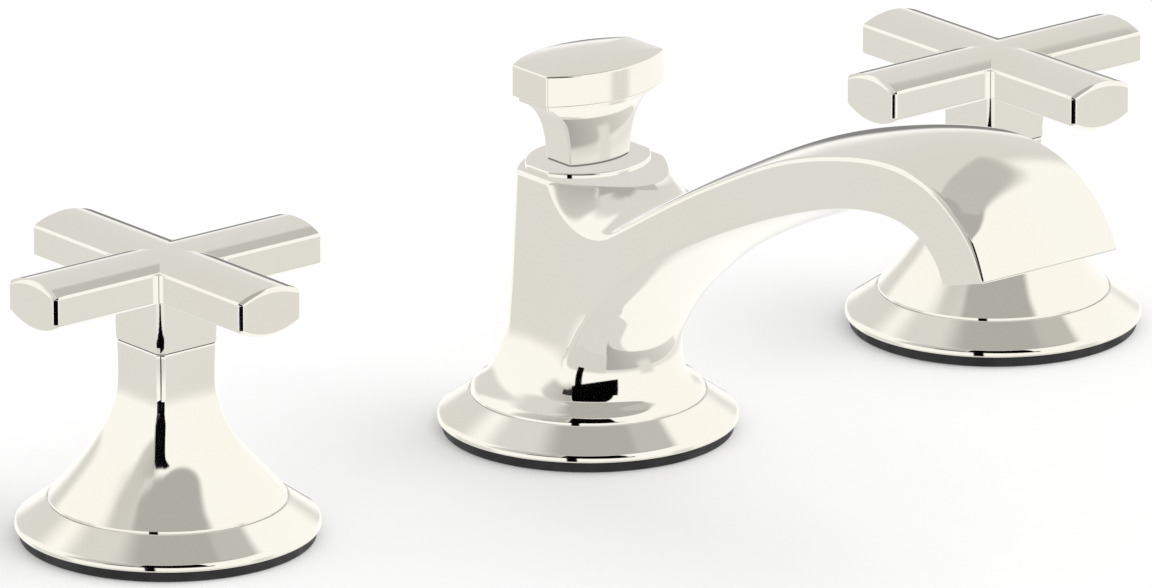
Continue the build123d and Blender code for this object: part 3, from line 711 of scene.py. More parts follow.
@dataclass
class BaseRing:
    """Conical ring with its gasket, alike under the spout and both handles."""

    at: float
    prefix: str
    radius: float = 28.75
    edge_top: float = 3.5
    crown_radius: float = 22.9
    crown_top: float = 7.6
    lip_radius: float = 22.5
    seat_level: float = 6.6
    bore_radius: float = 16.2
    gasket_radius: float = 27.9
    gasket_top: float = 2.2
    ring_edges: tuple = (0.1, 0.3, 1.1, 0.14, 0.14, 0.1, 0.1)
    gasket_edges: tuple = (0.2, 0.5, 0.5, 0.2)

    def build(self, dresser: Dresser) -> None:
        """Turns the two outlines about the column's axis.

        Args:
            dresser: Gives the piece its body, material and nodes.
        """
        ring = (
            (self.bore_radius, self.gasket_top),
            (self.radius, self.gasket_top),
            (self.radius, self.edge_top),
            (self.crown_radius, self.crown_top),
            (self.lip_radius, self.crown_top),
            (self.lip_radius, self.seat_level),
            (self.bore_radius, self.seat_level),
        )
        gasket = (
            (self.bore_radius, 0),
            (self.gasket_radius, 0),
            (self.gasket_radius, self.gasket_top),
            (self.bore_radius, self.gasket_top),
        )
        for profile, radii, name, slot, node in (
            (ring, self.ring_edges, "ring_polished", Slot.NICKEL, "base_ring"),
            (gasket, self.gasket_edges, "gasket_moulded", Slot.RUBBER, "gasket"),
        ):
            shell = Shell()
            shell.grid(turned(rounded_profile(profile, radii), self.at), closed=True)
            piece = shell.piece(f"{self.prefix}_{name}")
            dresser.dress(piece, Body.ROOT, slot, f"{self.prefix}_{node}")


@dataclass
class SpoutBody:
    """Cast body: round foot, column with a scooped shoulder, and an arm that flares to its tip.

    Its flanks are flat and splay towards the tip. Everything between them is a ribbon: a side
    curve P(t) at the flanks, a bulge D(t) that swells the middle by the share f(x) of an arc,
    and an edge rounding of radius r(t) along the curve's normal N(t).
    """

    reach: float = 134.3
    root_reach: float = 21.4
    top: float = 81.5
    half_width: float = 13.9
    tip_half_width: float = 16.4
    shoulder: float = 53.2
    shoulder_front: float = 4.0
    shoulder_back: float = 5.0
    column_back: float = 7.3
    back_bow: float = 6.9
    front_bow: float = 7.2
    scoop: float = 13.3
    scoop_sink: float = 0.15
    crown: float = 2.3
    belly: float = 2.4
    column_base: float = 21.0
    foot_radius: float = 22.4
    foot_level: float = 8.0
    seat_level: float = 6.6
    slot_length: float = 24.0
    slot_width: float = 7.6
    slot_corner: float = 1.9
    slot_depth: float = 9.0
    lip: tuple = ((0.3, 0.0), (0.18, 0.03), (0.06, 0.12), (0.0, 0.3))
    edge: float = 0.8
    tip_edge: float = 0.42
    tip_cut: float = 0.55
    tip_fade: float = 8.0
    steep_fade: float = 26.0
    rim: float = 1.3
    rim_edge: float = 1.1
    sagittas: tuple = (7.4, 2.6, 2.0, 0.8, 2.3, 6.5, 6.9)
    sagitta_fades: tuple = (60.0, 30.0)
    scoop_fade: float = 16.0
    plate: BowedOutline = BowedOutline(12.4, 3.3, 7.5, 0.6)
    plate_top: float = 54.2
    plate_edge: float = 0.4
    plate_sink: float = 0.3
    waist: float = 30.0
    waist_flare: float = 0.13
    waist_front: float = 0.45
    waist_bows: tuple = (7.45, 0.02)
    waist_fade: float = 6.0
    join: float = 13.0
    foot_blend: float = 0.8
    blend_fade: float = 9.0
    level_fade: float = 5.0
    least_bow: float = 0.01
    least_cosine: float = 0.1
    bow_slope: float = 0.01
    foot_levels: int = 72
    crowding: float = 1.15
    tip_crowding: float = 1.1
    front_samples: int = 800
    bulge_points: int = 45
    bulge_sweep: float = 0.82
    tuck_points: int = 8
    flank_points: int = 14
    waist_station: int = 4
    last_station: int = 10
    zones: tuple = (
        ("under", 130),
        ("rear", 6),
        ("face", 15),
        ("front", 6),
        ("top", 130),
        ("scoop", 26),
        ("rim", 8),
        ("flat", 10),
        ("back_rim", 8),
        ("wall", 26),
    )
    station_shares: tuple = (
        (2.0000, 1.4312, 1.8966, 1.3137, 0.35, 0.85),
        (1.9690, 1.6498, 1.8852, 1.3941, 0.45, 0.85),
        (1.9163, 1.8292, 1.8649, 1.4891, 0.62, 0.85),
        (1.8517, 1.9467, 1.8254, 1.5839, 0.80, 0.90),
        (1.7752, 1.9951, 1.7740, 1.6351, 0.95, 0.92),
        (1.6986, 1.9772, 1.7153, 1.6345, 1.00, 0.96),
        (1.5933, 1.8926, 1.6221, 1.5703, 1.00, 1.00),
        (1.4746, 1.7446, 1.5060, 1.4226, 1.00, 1.04),
        (1.3384, 1.4957, 1.3744, 1.2080, 1.00, 1.10),
        (1.2110, 1.2296, 1.2465, 0.9814, 1.00, 1.25),
        (1.1042, 0.9915, 1.1425, 0.8614, 1.00, 1.60),
        (1.0000, 0.8654, 1.0647, 0.7508, 1.00, 2.10),
        (0.4355, 0.7422, 1.0061, 0.6463, 1.00, 2.50),
        (-0.1287, 0.6192, 0.8052, 0.5480, 1.00, 2.80),
        (-0.6025, 0.5023, 0.6470, 0.4653, 1.00, 3.00),
        (-0.8799, 0.3882, 0.5209, 0.3896, 1.00, 3.10),
    )
    foot_shares: tuple = (
        (0.000, 0.7000, 0.7000, 0.7140, 0.3000, 0.3000, 0.2860),
        (0.095, 0.6700, 0.6800, 0.7000, 0.2850, 0.2840, 0.2640),
        (0.210, 0.5700, 0.6000, 0.6720, 0.2950, 0.2530, 0.1900),
        (0.370, 0.5040, 0.5090, 0.6560, 0.3214, 0.2500, 0.1050),
        (0.560, 0.4740, 0.4360, 0.6480, 0.3326, 0.2720, 0.0400),
        (0.780, 0.4810, 0.3790, 0.6360, 0.3348, 0.2900, 0.0080),
    )
    upper: np.ndarray = field(init=False)
    lower: np.ndarray = field(init=False)
    rise: np.ndarray = field(init=False)
    sag: np.ndarray = field(init=False)
    across: np.ndarray = field(init=False)
    tucked: np.ndarray = field(init=False)
    rows: dict = field(init=False)
    slope: float = field(init=False)
    scoop_shift: np.ndarray = field(init=False)

    def __post_init__(self) -> None:
        """Works out the stations and the samples across a ribbon.

        across runs from -1 to 1 over the bulged part, and tucked is the angle of the edge
        rounding: zero on the bulged part, a quarter turn at the flank.
        """
        shares = np.array(self.station_shares)

        def scaled(share: np.ndarray, near: float, far: float) -> np.ndarray:
            """Share of the near size up to 1, and of the way from near to far beyond."""
            return np.minimum(share, 1) * near + np.maximum(share - 1, 0) * (far - near)

        self.upper, self.lower = (
            np.column_stack(
                [-scaled(y, self.root_reach, self.reach), scaled(z, self.shoulder, self.top)]
            )
            for y, z in (shares[:, :2].T, shares[:, 2:4].T)
        )
        self.rise = shares[:, 4] * self.crown
        self.sag = shares[:, 5] * self.belly
        sweep, ends = math.pi / 2 * self.bulge_sweep, np.ones(self.tuck_points)
        plain = np.sin(np.linspace(-1, 1, self.bulge_points) * sweep) / math.sin(sweep)
        quarter = np.linspace(0, math.pi / 2, self.tuck_points + 1)
        self.across = np.concatenate([-ends, plain, ends])
        self.tucked = np.concatenate([quarter[:0:-1], np.zeros(self.bulge_points), quarter[1:]])
        y, z = self.upper[self.last_station - 1] - self.upper[self.last_station + 1]
        self.slope = math.atan2(z, -y)
        self.scoop_shift = np.array([-1, math.tan(self.slope)]) * self.front_bow + (0, self.crown)
        ends = np.cumsum([size for _, size in self.zones])
        self.rows = {
            name: (int(end - size), int(end)) for (name, size), end in zip(self.zones, ends)
        }

    def flank(self, y: np.ndarray) -> np.ndarray:
        """Half width of the body at y: the flanks splay by a steady slope."""
        return self.half_width - (self.tip_half_width - self.half_width) / self.reach * y

    @staticmethod
    def normals(curve: np.ndarray) -> np.ndarray:
        """Outward unit normals of a side curve that runs up the front and down the back."""
        tangent = np.gradient(curve, axis=0)
        tangent /= np.linalg.norm(tangent, axis=1)[:, None]
        return np.column_stack([-tangent[:, 1], tangent[:, 0]])

    @staticmethod
    def arc(
        start: np.ndarray, corner: np.ndarray, end: np.ndarray, turn: np.ndarray, steps: int
    ) -> np.ndarray:
        """Arc that rounds a corner, as the weighted blend of its two ends and the corner.

        The weights are (1-s) squared, 2 s (1-s) cos(half turn) and s squared, over their sum.

        Args:
            start: Where the arc leaves the first side, shape (..., 2).
            corner: The corner itself.
            end: Where the arc meets the second side.
            turn: Angle by which the direction turns there, shape (...).
            steps: Number of pieces.

        Returns:
            Points, (steps + 1) by (..., 2).
        """
        share = np.linspace(0, 1, steps + 1).reshape(-1, *[1] * start.ndim)
        pull = np.cos(np.asarray(turn) / 2)[..., None]
        first, middle, last = (1 - share) ** 2, 2 * share * (1 - share) * pull, share**2
        return (first * start + middle * corner + last * end) / (first + middle + last)

    def front_line(self) -> tuple:
        """Runs along the lower stations' spline about the waist, close together, and points."""
        curve = self.lower[::-1]
        run = chord(curve)
        dense = np.linspace(run[0], run[self.waist_station], self.front_samples)
        return dense, spline(run, curve, dense)

    def underside(self, share: np.ndarray) -> np.ndarray:
        """Front of the column and underside of the arm, up to the outlet's rear edge.

        A spline through the lower stations, run from the waist to the tip, plus the belly's
        spline times the share. Near the waist the belly slides along the curve's tangent
        until it is level, so that the first row ends at one height.

        Args:
            share: Shares of the bulge, rows by columns.

        Returns:
            Points (y, z), rows by columns by 2.
        """
        curve, sag = self.lower[::-1], self.sag[::-1]
        down = self.lower - self.upper
        down = (down / np.linalg.norm(down, axis=1)[:, None])[::-1]
        run = chord(curve)
        dense, front = self.front_line()
        first = np.interp(self.waist, front[:, 1], dense)
        at = np.linspace(first, run[-1] - self.tip_cut, len(share))
        place = spline(run, curve, at)
        belly = spline(run, down * sag[:, None], at)
        levelled = 1 - smooth_step((at - first) / self.waist_fade)
        tangent = np.gradient(place, axis=0, edge_order=2)
        lean = np.divide(tangent[:, 0], tangent[:, 1], out=np.zeros(len(at)), where=levelled > 0)
        slide = belly[:, 1] * levelled
        belly -= np.column_stack([lean * slide, slide])
        place[0, 1] = self.waist
        return place[:, None, :] + belly[:, None, :] * share[..., None]

    def outlet_line(self, share: np.ndarray) -> tuple:
        """Rear and front edge of the outlet's plane for each share, and its unit direction.

        Args:
            share: Shares of the bulge.

        Returns:
            Rear points, front points and the direction.
        """
        across = self.upper[0] - self.lower[0]
        across = across / np.linalg.norm(across)
        rear = self.lower[0] - across * self.sag[0] * share[..., None]
        front = self.upper[0] + across * self.rise[0] * share[..., None]
        return rear, front, across

    def arm_top(self, share: np.ndarray) -> np.ndarray:
        """Top of the arm from its tip down to the scoop: a spline plus the crown times the share.

        Near the scoop the crown's direction slides along the straight run, so that it meets
        the direction in which the scoop's centre moves.

        Args:
            share: Shares of the bulge, rows by columns.

        Returns:
            Points (y, z), rows by columns by 2.
        """
        stations = slice(self.last_station + 1)
        up = (self.upper - self.lower)[stations]
        up = up / np.linalg.norm(up, axis=1)[:, None]
        along = np.array([math.cos(self.slope), -math.sin(self.slope)])
        curve = np.vstack([self.upper[: self.last_station], self.scoop_foot(np.zeros(1))])
        run = chord(curve)
        step = np.linspace(0, 1, len(share)) ** self.tip_crowding
        at = self.tip_cut + (run[-1] - self.tip_cut) * step
        place = spline(run, curve, at, end=along)
        rise = spline(run, self.rise[stations], at)
        lift = spline(run, up, at)
        straight = smooth_step((at - run[-1] + self.scoop_fade) / self.scoop_fade)[:, None]
        lift = lift / np.linalg.norm(lift, axis=1)[:, None] * rise
        lift = lift * (1 - straight) + self.scoop_shift * straight
        return place[:, None, :] + lift[:, None, :] * share[..., None]

    def scoop_centre(self, share: np.ndarray) -> np.ndarray:
        """Centre of the scoop's arc: it moves forward and up in the middle of the body.

        Args:
            share: Shares of the bulge.

        Returns:
            Points (y, z), one per share.
        """
        root = self.upper[self.last_station + 1]
        forward = -self.shoulder_front - self.scoop
        line = root[1] + (root[0] - forward) * math.tan(self.slope)
        first = np.array([forward, line + self.scoop / math.cos(self.slope) - self.scoop_sink])
        return first + self.scoop_shift * share[..., None]

    def scoop_point(self, share: np.ndarray, turn: np.ndarray) -> np.ndarray:
        """Point of the scoop's arc at a turn from straight down."""
        away = np.stack([np.sin(turn), -np.cos(turn)], axis=-1)
        return self.scoop_centre(share) + self.scoop * away

    def scoop_foot(self, share: np.ndarray) -> np.ndarray:
        """Where the arm's top runs into the scoop's arc."""
        return self.scoop_point(share, np.full(share.shape, -self.slope))

    def scoop_end(self, share: np.ndarray) -> np.ndarray:
        """Turn at which the scoop's arc reaches the shoulder's level."""
        return np.arccos((self.scoop_centre(share)[..., 1] - self.shoulder) / self.scoop)

    def back_edge(self, share: np.ndarray) -> np.ndarray:
        """Corner between the shoulder's top and its back."""
        y = self.shoulder_back + self.back_bow * share
        return np.stack([y, np.full_like(y, self.shoulder)], axis=-1)

    def side(self, share: np.ndarray) -> np.ndarray:
        """The whole side curve for the shares given, row by row round the body.

        Args:
            share: Shares of the bulge, rows by columns.

        Returns:
            Points (y, z), rows by columns by 2.
        """
        part = {name: share[start:stop] for name, (start, stop) in self.rows.items()}

        def bend(step: np.ndarray, across: np.ndarray) -> np.ndarray:
            """Angle by which the steps, one per column, turn into the outlet's plane."""
            step = step / np.linalg.norm(step, axis=-1)[..., None]
            return np.arccos(np.clip(step @ across, -1, 1))

        def straight(start: np.ndarray, stop: np.ndarray, step: np.ndarray) -> np.ndarray:
            """Points at these steps from start to stop, one row per step."""
            return start + (stop - start) * step[:, None, None]

        under = self.underside(part["under"])
        rear, _, across = self.outlet_line(part["rear"][0])
        cut = across * self.tip_cut
        turn = bend(under[-1] - under[-2], across)
        rear_arc = self.arc(under[-1], rear, rear + cut, turn, len(part["rear"]) + 1)[1:-1]
        rear, front, _ = self.outlet_line(part["face"])
        face = straight(rear + cut, front - cut, np.linspace(0, 1, len(rear)))
        top = self.arm_top(part["top"])
        front = self.outlet_line(part["front"][0])[1]
        turn = bend(top[1] - top[0], across)
        front_arc = self.arc(front - cut, front, top[0], turn, len(part["front"]) + 1)[1:-1]
        scoop = self.scoop_rows(part["scoop"])
        end = self.scoop_end(part["rim"][0])
        cut = self.rim * np.tan(end / 2)
        corner = self.scoop_point(part["rim"][0], end)
        inner = corner + np.stack([cut, np.zeros_like(cut)], axis=-1)
        start = self.scoop_point(part["rim"][0], end - cut / self.scoop)
        rim = self.arc(start, corner, inner, end, len(part["rim"]))[1:]
        end = self.scoop_end(part["flat"])
        start = self.scoop_point(part["flat"], end)
        start = start + np.stack([self.rim * np.tan(end / 2), np.zeros_like(end)], axis=-1)
        stop = self.back_edge(part["flat"]) - (self.rim, 0)
        flat = straight(start, stop, np.linspace(0, 1, len(start) + 1)[1:])
        corner = self.back_edge(part["back_rim"][0])
        quarter = np.full(len(corner), math.pi / 2)
        back_rim = self.arc(
            corner - (self.rim, 0), corner, corner - (0, self.rim), quarter, len(part["back_rim"])
        )[1:]
        wall = part["wall"]
        level = np.linspace(self.shoulder - self.rim, self.waist, len(wall) + 1)[1:, None]
        y = self.shoulder_back + self.back_bow * wall
        y = y + self.back_lean() * (self.shoulder - self.rim - level)
        wall = np.stack([y, np.broadcast_to(level, y.shape)], axis=-1)
        return np.concatenate(
            [under, rear_arc, face, front_arc, top, scoop, rim, flat, back_rim, wall]
        )

    def back_lean(self) -> float:
        """How far the column's back moves out per millimetre down."""
        return (self.column_back - self.shoulder_back) / (self.shoulder - self.column_base)

    def scoop_rows(self, share: np.ndarray) -> np.ndarray:
        """Rows of the scoop after its first, which is the last of the arm's top.

        Args:
            share: Shares of the bulge, rows by columns.

        Returns:
            Points (y, z), rows by columns by 2.
        """
        end = self.scoop_end(share)
        end = end - self.rim * np.tan(end / 2) / self.scoop
        step = np.linspace(0, 1, len(share) + 1)[1:, None]
        return self.scoop_point(share, -self.slope + step * (end + self.slope))

    def ribbon(self) -> np.ndarray:
        """The ribbon between the flanks, all the way from the front of the column to its back.

        At the place x across, the share f is the height of an arc of the row's sagitta over
        its chord 2w, divided by the sagitta; towards the tip of the arm's top it turns into
        1 - (x / w) to the fifth, which falls off near the flanks. The point is the side curve's
        point for that share, less the normal times r (1 - cos b), with x = w - r + r sin b in
        the rounding.

        Returns:
            Points, rows by columns by 3.
        """
        count = self.rows["wall"][1]
        curve = self.side(np.zeros((count, 1)))[:, 0]
        raised = smooth_step((curve[:, 1] - self.waist) / self.level_fade)[:, None]
        way = np.where(np.arange(count) < count / 2, -1.0, 1.0)
        level = np.column_stack([way, np.zeros(count)])
        normal = self.normals(curve) * raised + level * (1 - raised)
        normal /= np.linalg.norm(normal, axis=1)[:, None]
        width = self.flank(curve[:, 0])[:, None]
        run = chord(curve)
        at = {name: run[start] for name, (start, _) in self.rows.items()}
        full = at["top"] + self.tip_fade
        knots = [at["rear"] - self.tip_fade, at["rear"], at["top"], full, at["scoop"], at["rim"]]
        edges = [self.edge, self.tip_edge, self.tip_edge, self.edge, self.edge, self.rim_edge]
        edge = np.interp(run, knots, edges)[:, None]
        under, above = self.sagitta_fades
        knots = [0, at["rear"] - under, at["rear"], at["top"]]
        knots += [at["scoop"] - above, at["scoop"], run[-1]]
        sagitta = np.interp(run, knots, self.sagittas)[:, None]
        x = self.across * (width - edge) + np.sign(self.across) * edge * np.sin(self.tucked)
        big = (width**2 + sagitta**2) / (2 * sagitta)
        share = (np.sqrt(np.maximum(big**2 - x**2, 0)) - (big - sagitta)) / sagitta
        knots = [at["rear"], at["front"], full, at["top"] + self.steep_fade]
        steep = np.interp(run, knots, [0, 1, 1, 0])[:, None]
        share = share * (1 - steep) + (1 - np.abs(x / width) ** 5) * steep
        tuck = edge * (1 - np.cos(self.tucked))
        place = self.side(share) - normal[:, None, :] * tuck[:, :, None]
        x = x / width * self.flank(place[:, :, 0])
        place[0, :, 1] = place[-1, :, 1] = self.waist
        return np.concatenate([x[:, :, None], place], axis=-1)

    def slot_loop(self, counts: tuple, offset: float, depth: float) -> np.ndarray:
        """Outline of the aerator's slot, in the outlet's plane or below it.

        Args:
            counts: Points on its long and on its short sides, both ends included.
            offset: How far it stands outside the slot's own outline.
            depth: How far it lies inside the outlet's plane.

        Returns:
            Points from the rear left corner, along the rear edge.
        """
        corner = self.slot_corner + offset
        sizes = self.slot_length / 2 + offset, self.slot_width / 2 + offset
        arc = np.linspace(-math.pi / 4, 0, 6)
        sides = []
        for turn in range(4):
            run, reach = sizes[turn % 2], sizes[1 - turn % 2]
            centre = (corner - run, corner - reach)
            begin = centre + corner * np.column_stack([np.sin(arc), -np.cos(arc)])
            count = counts[turn % 2] - 2 * (len(arc) - 1)
            straight = np.linspace(corner - run, run - corner, count)[1:-1]
            middle = np.column_stack([straight, np.full(len(straight), -reach)])
            side = np.concatenate([begin, middle, begin[::-1] * (-1, 1)])[:-1]
            sides.append(spun(side, turn * math.pi / 2))
        flat = np.concatenate(sides)
        rear, front, across = self.outlet_line(np.zeros(1))
        outward = np.array([-across[1], across[0]])
        place = (rear[0] + front[0]) / 2 + flat[:, 1:] * across - outward * depth
        return np.column_stack([flat[:, 0], place])

    def foot_sizes(self) -> tuple:
        """Sizes of the foot at each level from its own to the waist.

        Splines run through the foot's shares and, above the column's base, through the real
        front and back of the body; there the flanks and the front still stand out by a flare
        that fades to the waist with the square of the height left.

        Returns:
            Levels, and then the reach to the front, to the back and to the flanks, and the
            bows of front, back and flanks, each as a column.
        """
        _, front = self.front_line()
        upper = np.linspace(self.column_base, self.waist, 4)
        flare = ((self.waist - upper) / (self.waist - self.column_base)) ** 2
        front_reach = self.waist_front * flare - np.interp(upper, front[:, 1], front[:, 0])
        front_bow, side_bow = self.waist_bows
        columns = [
            front_reach,
            self.column_back - self.back_lean() * (upper - self.column_base),
            self.half_width + self.waist_flare * flare,
            *(np.full(len(upper), bow) for bow in (front_bow, self.back_bow, side_bow)),
        ]
        shares = np.array(self.foot_shares)
        values = np.vstack([shares[:, 1:] * self.foot_radius, np.column_stack(columns)])
        low = self.foot_level + shares[:, 0] * (self.column_base - self.foot_level)
        front_lean = (front_reach[-1] - front_reach[-2]) / (upper[-1] - upper[-2])
        bow_lean = self.bow_slope * self.foot_radius
        end = np.array([front_lean, -self.back_lean(), 0, bow_lean, 0, 0])
        step = np.linspace(0, 1, self.foot_levels) ** self.crowding
        level = self.foot_level + (self.waist - self.foot_level) * step
        sizes = spline(np.append(low, upper), values, level, end=end).T[:, :, None]
        sizes[5] = np.maximum(sizes[5], self.least_bow)
        return level, sizes

    def foot_loops(self, top: np.ndarray, upward: np.ndarray) -> np.ndarray:
        """Loops of the foot, from the body's section down to the round seat.

        A loop's distance from the axis, at each turn, is the rounded minimum of four arcs.
        The difference e between this and the body's own section fades out downwards, and so
        does the difference d of their slopes at a fixed turn: over the height h, with t the
        share of it from the top, they add e (1 - S(t)) - d h t (1 - t) squared, where S is
        the smooth step.

        Args:
            top: The body's section at the waist.
            upward: The direction in which the body's surface leaves it upwards, at each point.

        Returns:
            Levels by points by 3, from the seat upwards.
        """
        level, (front_y, back_y, half, bow_front, bow_back, bow_side) = self.foot_sizes()
        front, back = (np.arctan2(reach, half)[:, 0] for reach in (-front_y, back_y))
        edges = np.stack([-math.pi - front, front, back, math.pi - back, math.pi - front])
        angle = np.unwrap(np.arctan2(top[:, 1], top[:, 0]))
        group = np.repeat([0, 1, 2, 3], [len(top) // 2 - self.flank_points, self.flank_points] * 2)
        start, stop = edges[group], edges[group + 1]
        share = (angle - start[:, -1]) / (stop[:, -1] - start[:, -1])
        turn = (start + (stop - start) * share[:, None]).T

        def to_arc(along: float, bow: np.ndarray, reach: np.ndarray) -> np.ndarray:
            """Distance to the arc of this bow that lies before the axis (-1) or behind it (1)."""
            big = (half**2 + bow**2) / (2 * bow)
            return ray_to_circle(turn, 0, along * (reach + bow - big), big)

        to_front = to_arc(-1, bow_front, front_y)
        to_back = to_arc(1, bow_back, back_y)
        depth = (front_y + back_y) / 2
        big = (depth**2 + bow_side**2) / (2 * bow_side)
        middle = (half + bow_side - big) * np.sign(np.cos(turn))
        to_side = ray_to_circle(turn, middle, (back_y - front_y) / 2, big)
        height = self.column_base - self.foot_level
        splay = (self.tip_half_width - self.half_width) / self.reach
        splay = splay * smooth_step((level - self.foot_level) / height)[:, None]
        cosine = np.maximum(np.abs(np.cos(turn)), self.least_cosine)
        to_side = to_side / (1 + splay * np.sin(turn) / cosine)
        blend = self.foot_blend * smooth_step((level - self.foot_level) / self.blend_fade)[:, None]
        distance = soft_less(np.where(np.sin(turn) < 0, to_front, to_back), to_side, blend)
        extra = np.hypot(top[:, 0], top[:, 1]) - distance[-1]
        outward = np.cross(np.roll(top, -1, axis=0) - np.roll(top, 1, axis=0), upward)
        radial = outward[:, 0] * np.cos(angle) + outward[:, 1] * np.sin(angle)
        turned_by = np.gradient(distance[-1], turn[-1]) * (turn[-1] - turn[-2])
        slope = (distance[-1] - distance[-2] - turned_by) / (level[-1] - level[-2])
        steeper = -outward[:, 2] / radial - slope
        fall = np.clip((self.waist - level) / self.join, 0, 1)[:, None]
        distance = distance + extra * (1 - smooth_step(fall))
        distance = distance - steeper * self.join * fall * (1 - fall) ** 2
        loops = lifted(distance[..., None] * ring_points(turn), level)
        loops[-1] = top
        seat = loops[:1].copy()
        seat[..., 2] = self.seat_level
        return np.concatenate([seat, loops])

    def build(self, dresser: Dresser) -> None:
        """Builds the ribbon, the flanks, the outlet, the foot and the plate as one piece.

        Args:
            dresser: Gives the piece its body, material and nodes.
        """
        shell = Shell()
        ribbon = self.ribbon()
        start, stop = self.rows["face"]
        bent = self.tuck_points
        shell.grid(ribbon[: start + 1])
        shell.grid(ribbon[stop - 1 :])
        face = ribbon[start:stop]
        shell.grid(face[:, : bent + 1])
        shell.grid(face[:, -bent - 1 :])
        inner = face[:, bent:-bent]
        outer = np.concatenate([inner[0, :-1], inner[:-1, -1], inner[-1, :0:-1], inner[:0:-1, 0]])
        counts = (inner.shape[1], inner.shape[0])
        lip = [self.slot_loop(counts, *pair) for pair in (*self.lip, (0.0, self.slot_depth))]
        shell.grid(np.stack([outer, *lip]), closed=True)
        shell.polygon(lip[-1])
        step = np.linspace(0, 1, self.flank_points + 2)[1:-1, None]
        rails = []
        for column in (0, -1):
            line = ribbon[:, column]
            rails.append(line[-1] + (line[0] - line[-1]) * step)
            shell.polygon(np.concatenate([line, rails[-1]]))
        top = np.concatenate([ribbon[0], rails[1][::-1], ribbon[-1, ::-1], rails[0]])
        upright = np.broadcast_to((0.0, 0.0, 1.0), rails[0].shape)
        upward = [ribbon[2] - ribbon[1], upright, (ribbon[-3] - ribbon[-2])[::-1], upright]
        shell.stack(self.foot_loops(top, np.concatenate(upward)), top=False)
        quarter = np.linspace(0, math.pi / 2, 7)
        levels = self.plate_top - self.plate_edge * (1 - np.sin(quarter))
        insets = self.plate_edge * (1 - np.cos(quarter))
        pairs = [(self.shoulder - self.plate_sink, 0.0), *zip(levels, insets)]
        shell.stack(np.stack([lifted(self.plate.loop(inset), level) for level, inset in pairs]))
        dresser.dress(shell.piece("spout_body_polished"), Body.ROOT, Slot.NICKEL, "spout_body")


@dataclass
class LiftKnob:
    """Knob on the drain's lift rod: a flared neck under a thick cap, bowed front and back."""

    bottom: float = 54.5
    step_bottom: float = 66.6
    cap_bottom: float = 67.6
    cap_rim: float = 73.9
    cap_edge: float = 0.38
    dome: float = 1.0
    chamfer: float = 0.12
    neck_inset: float = 0.25
    neck_levels: int = 34
    crown_sizes: tuple = (0.97, 0.04, 16)
    cap: BowedOutline = BowedOutline(14.4, 5.2, 4.8, 0.7)
    step: BowedOutline = BowedOutline(13.5, 4.3, 4.8, 0.6)
    neck: BowedOutline = BowedOutline(7.35, 3.5, 1.9, 0.45)
    neck_shares: tuple = (
        (0.00, 0.00),
        (0.21, 0.04),
        (0.42, 0.11),
        (0.60, 0.21),
        (0.76, 0.37),
        (0.90, 0.62),
        (1.00, 0.90),
    )

    def neck_loops(self) -> list:
        """Loops of the neck: sizes go from the neck's to the step's by the spline of the shares."""
        shares = np.array(self.neck_shares)
        up = np.linspace(0, 1, self.neck_levels)
        opened = spline(shares[:, 0], shares[:, 1], up)[:, 0]
        narrow, wide = (np.array(astuple(shape)[:4]) for shape in (self.neck, self.step))
        loops = [BowedOutline(*(narrow + (wide - narrow) * share)).loop() for share in opened]
        level = self.bottom + (self.step_bottom - self.bottom) * up
        level[0] += self.chamfer
        return [lifted(self.neck.loop(self.neck_inset), self.bottom), *map(lifted, loops, level)]

    def build(self, dresser: Dresser) -> None:
        """Builds neck, step, cap and domed top as one skin.

        The cap's edges are quarter circles. Its top has the level of the rim plus the dome's
        height times 1 - s squared, where s is the share of the rim's outline.

        Args:
            dresser: Gives the piece its body, material and nodes.
        """
        quarter = np.linspace(0, math.pi / 2, 6)
        drop, inset = (self.cap_edge * (1 - way(quarter)) for way in (np.sin, np.cos))
        rim = self.cap.loop(self.cap_edge)
        loops = [
            *self.neck_loops(),
            lifted(self.step.loop(self.chamfer), self.step_bottom),
            lifted(self.step.loop(), self.step_bottom + self.chamfer),
            lifted(self.step.loop(), self.cap_bottom),
            *(lifted(self.cap.loop(far), self.cap_bottom + up) for far, up in zip(drop, inset)),
            *(lifted(self.cap.loop(far), self.cap_rim - down) for far, down in zip(inset, drop)),
            *(
                lifted(rim * size, self.cap_rim + self.dome * (1 - size**2))
                for size in np.linspace(*self.crown_sizes)
            ),
        ]
        shell = Shell()
        shell.stack(np.stack(loops))
        dresser.dress(shell.piece("lift_knob_polished"), Body.LIFT, Slot.NICKEL, "lift_knob")


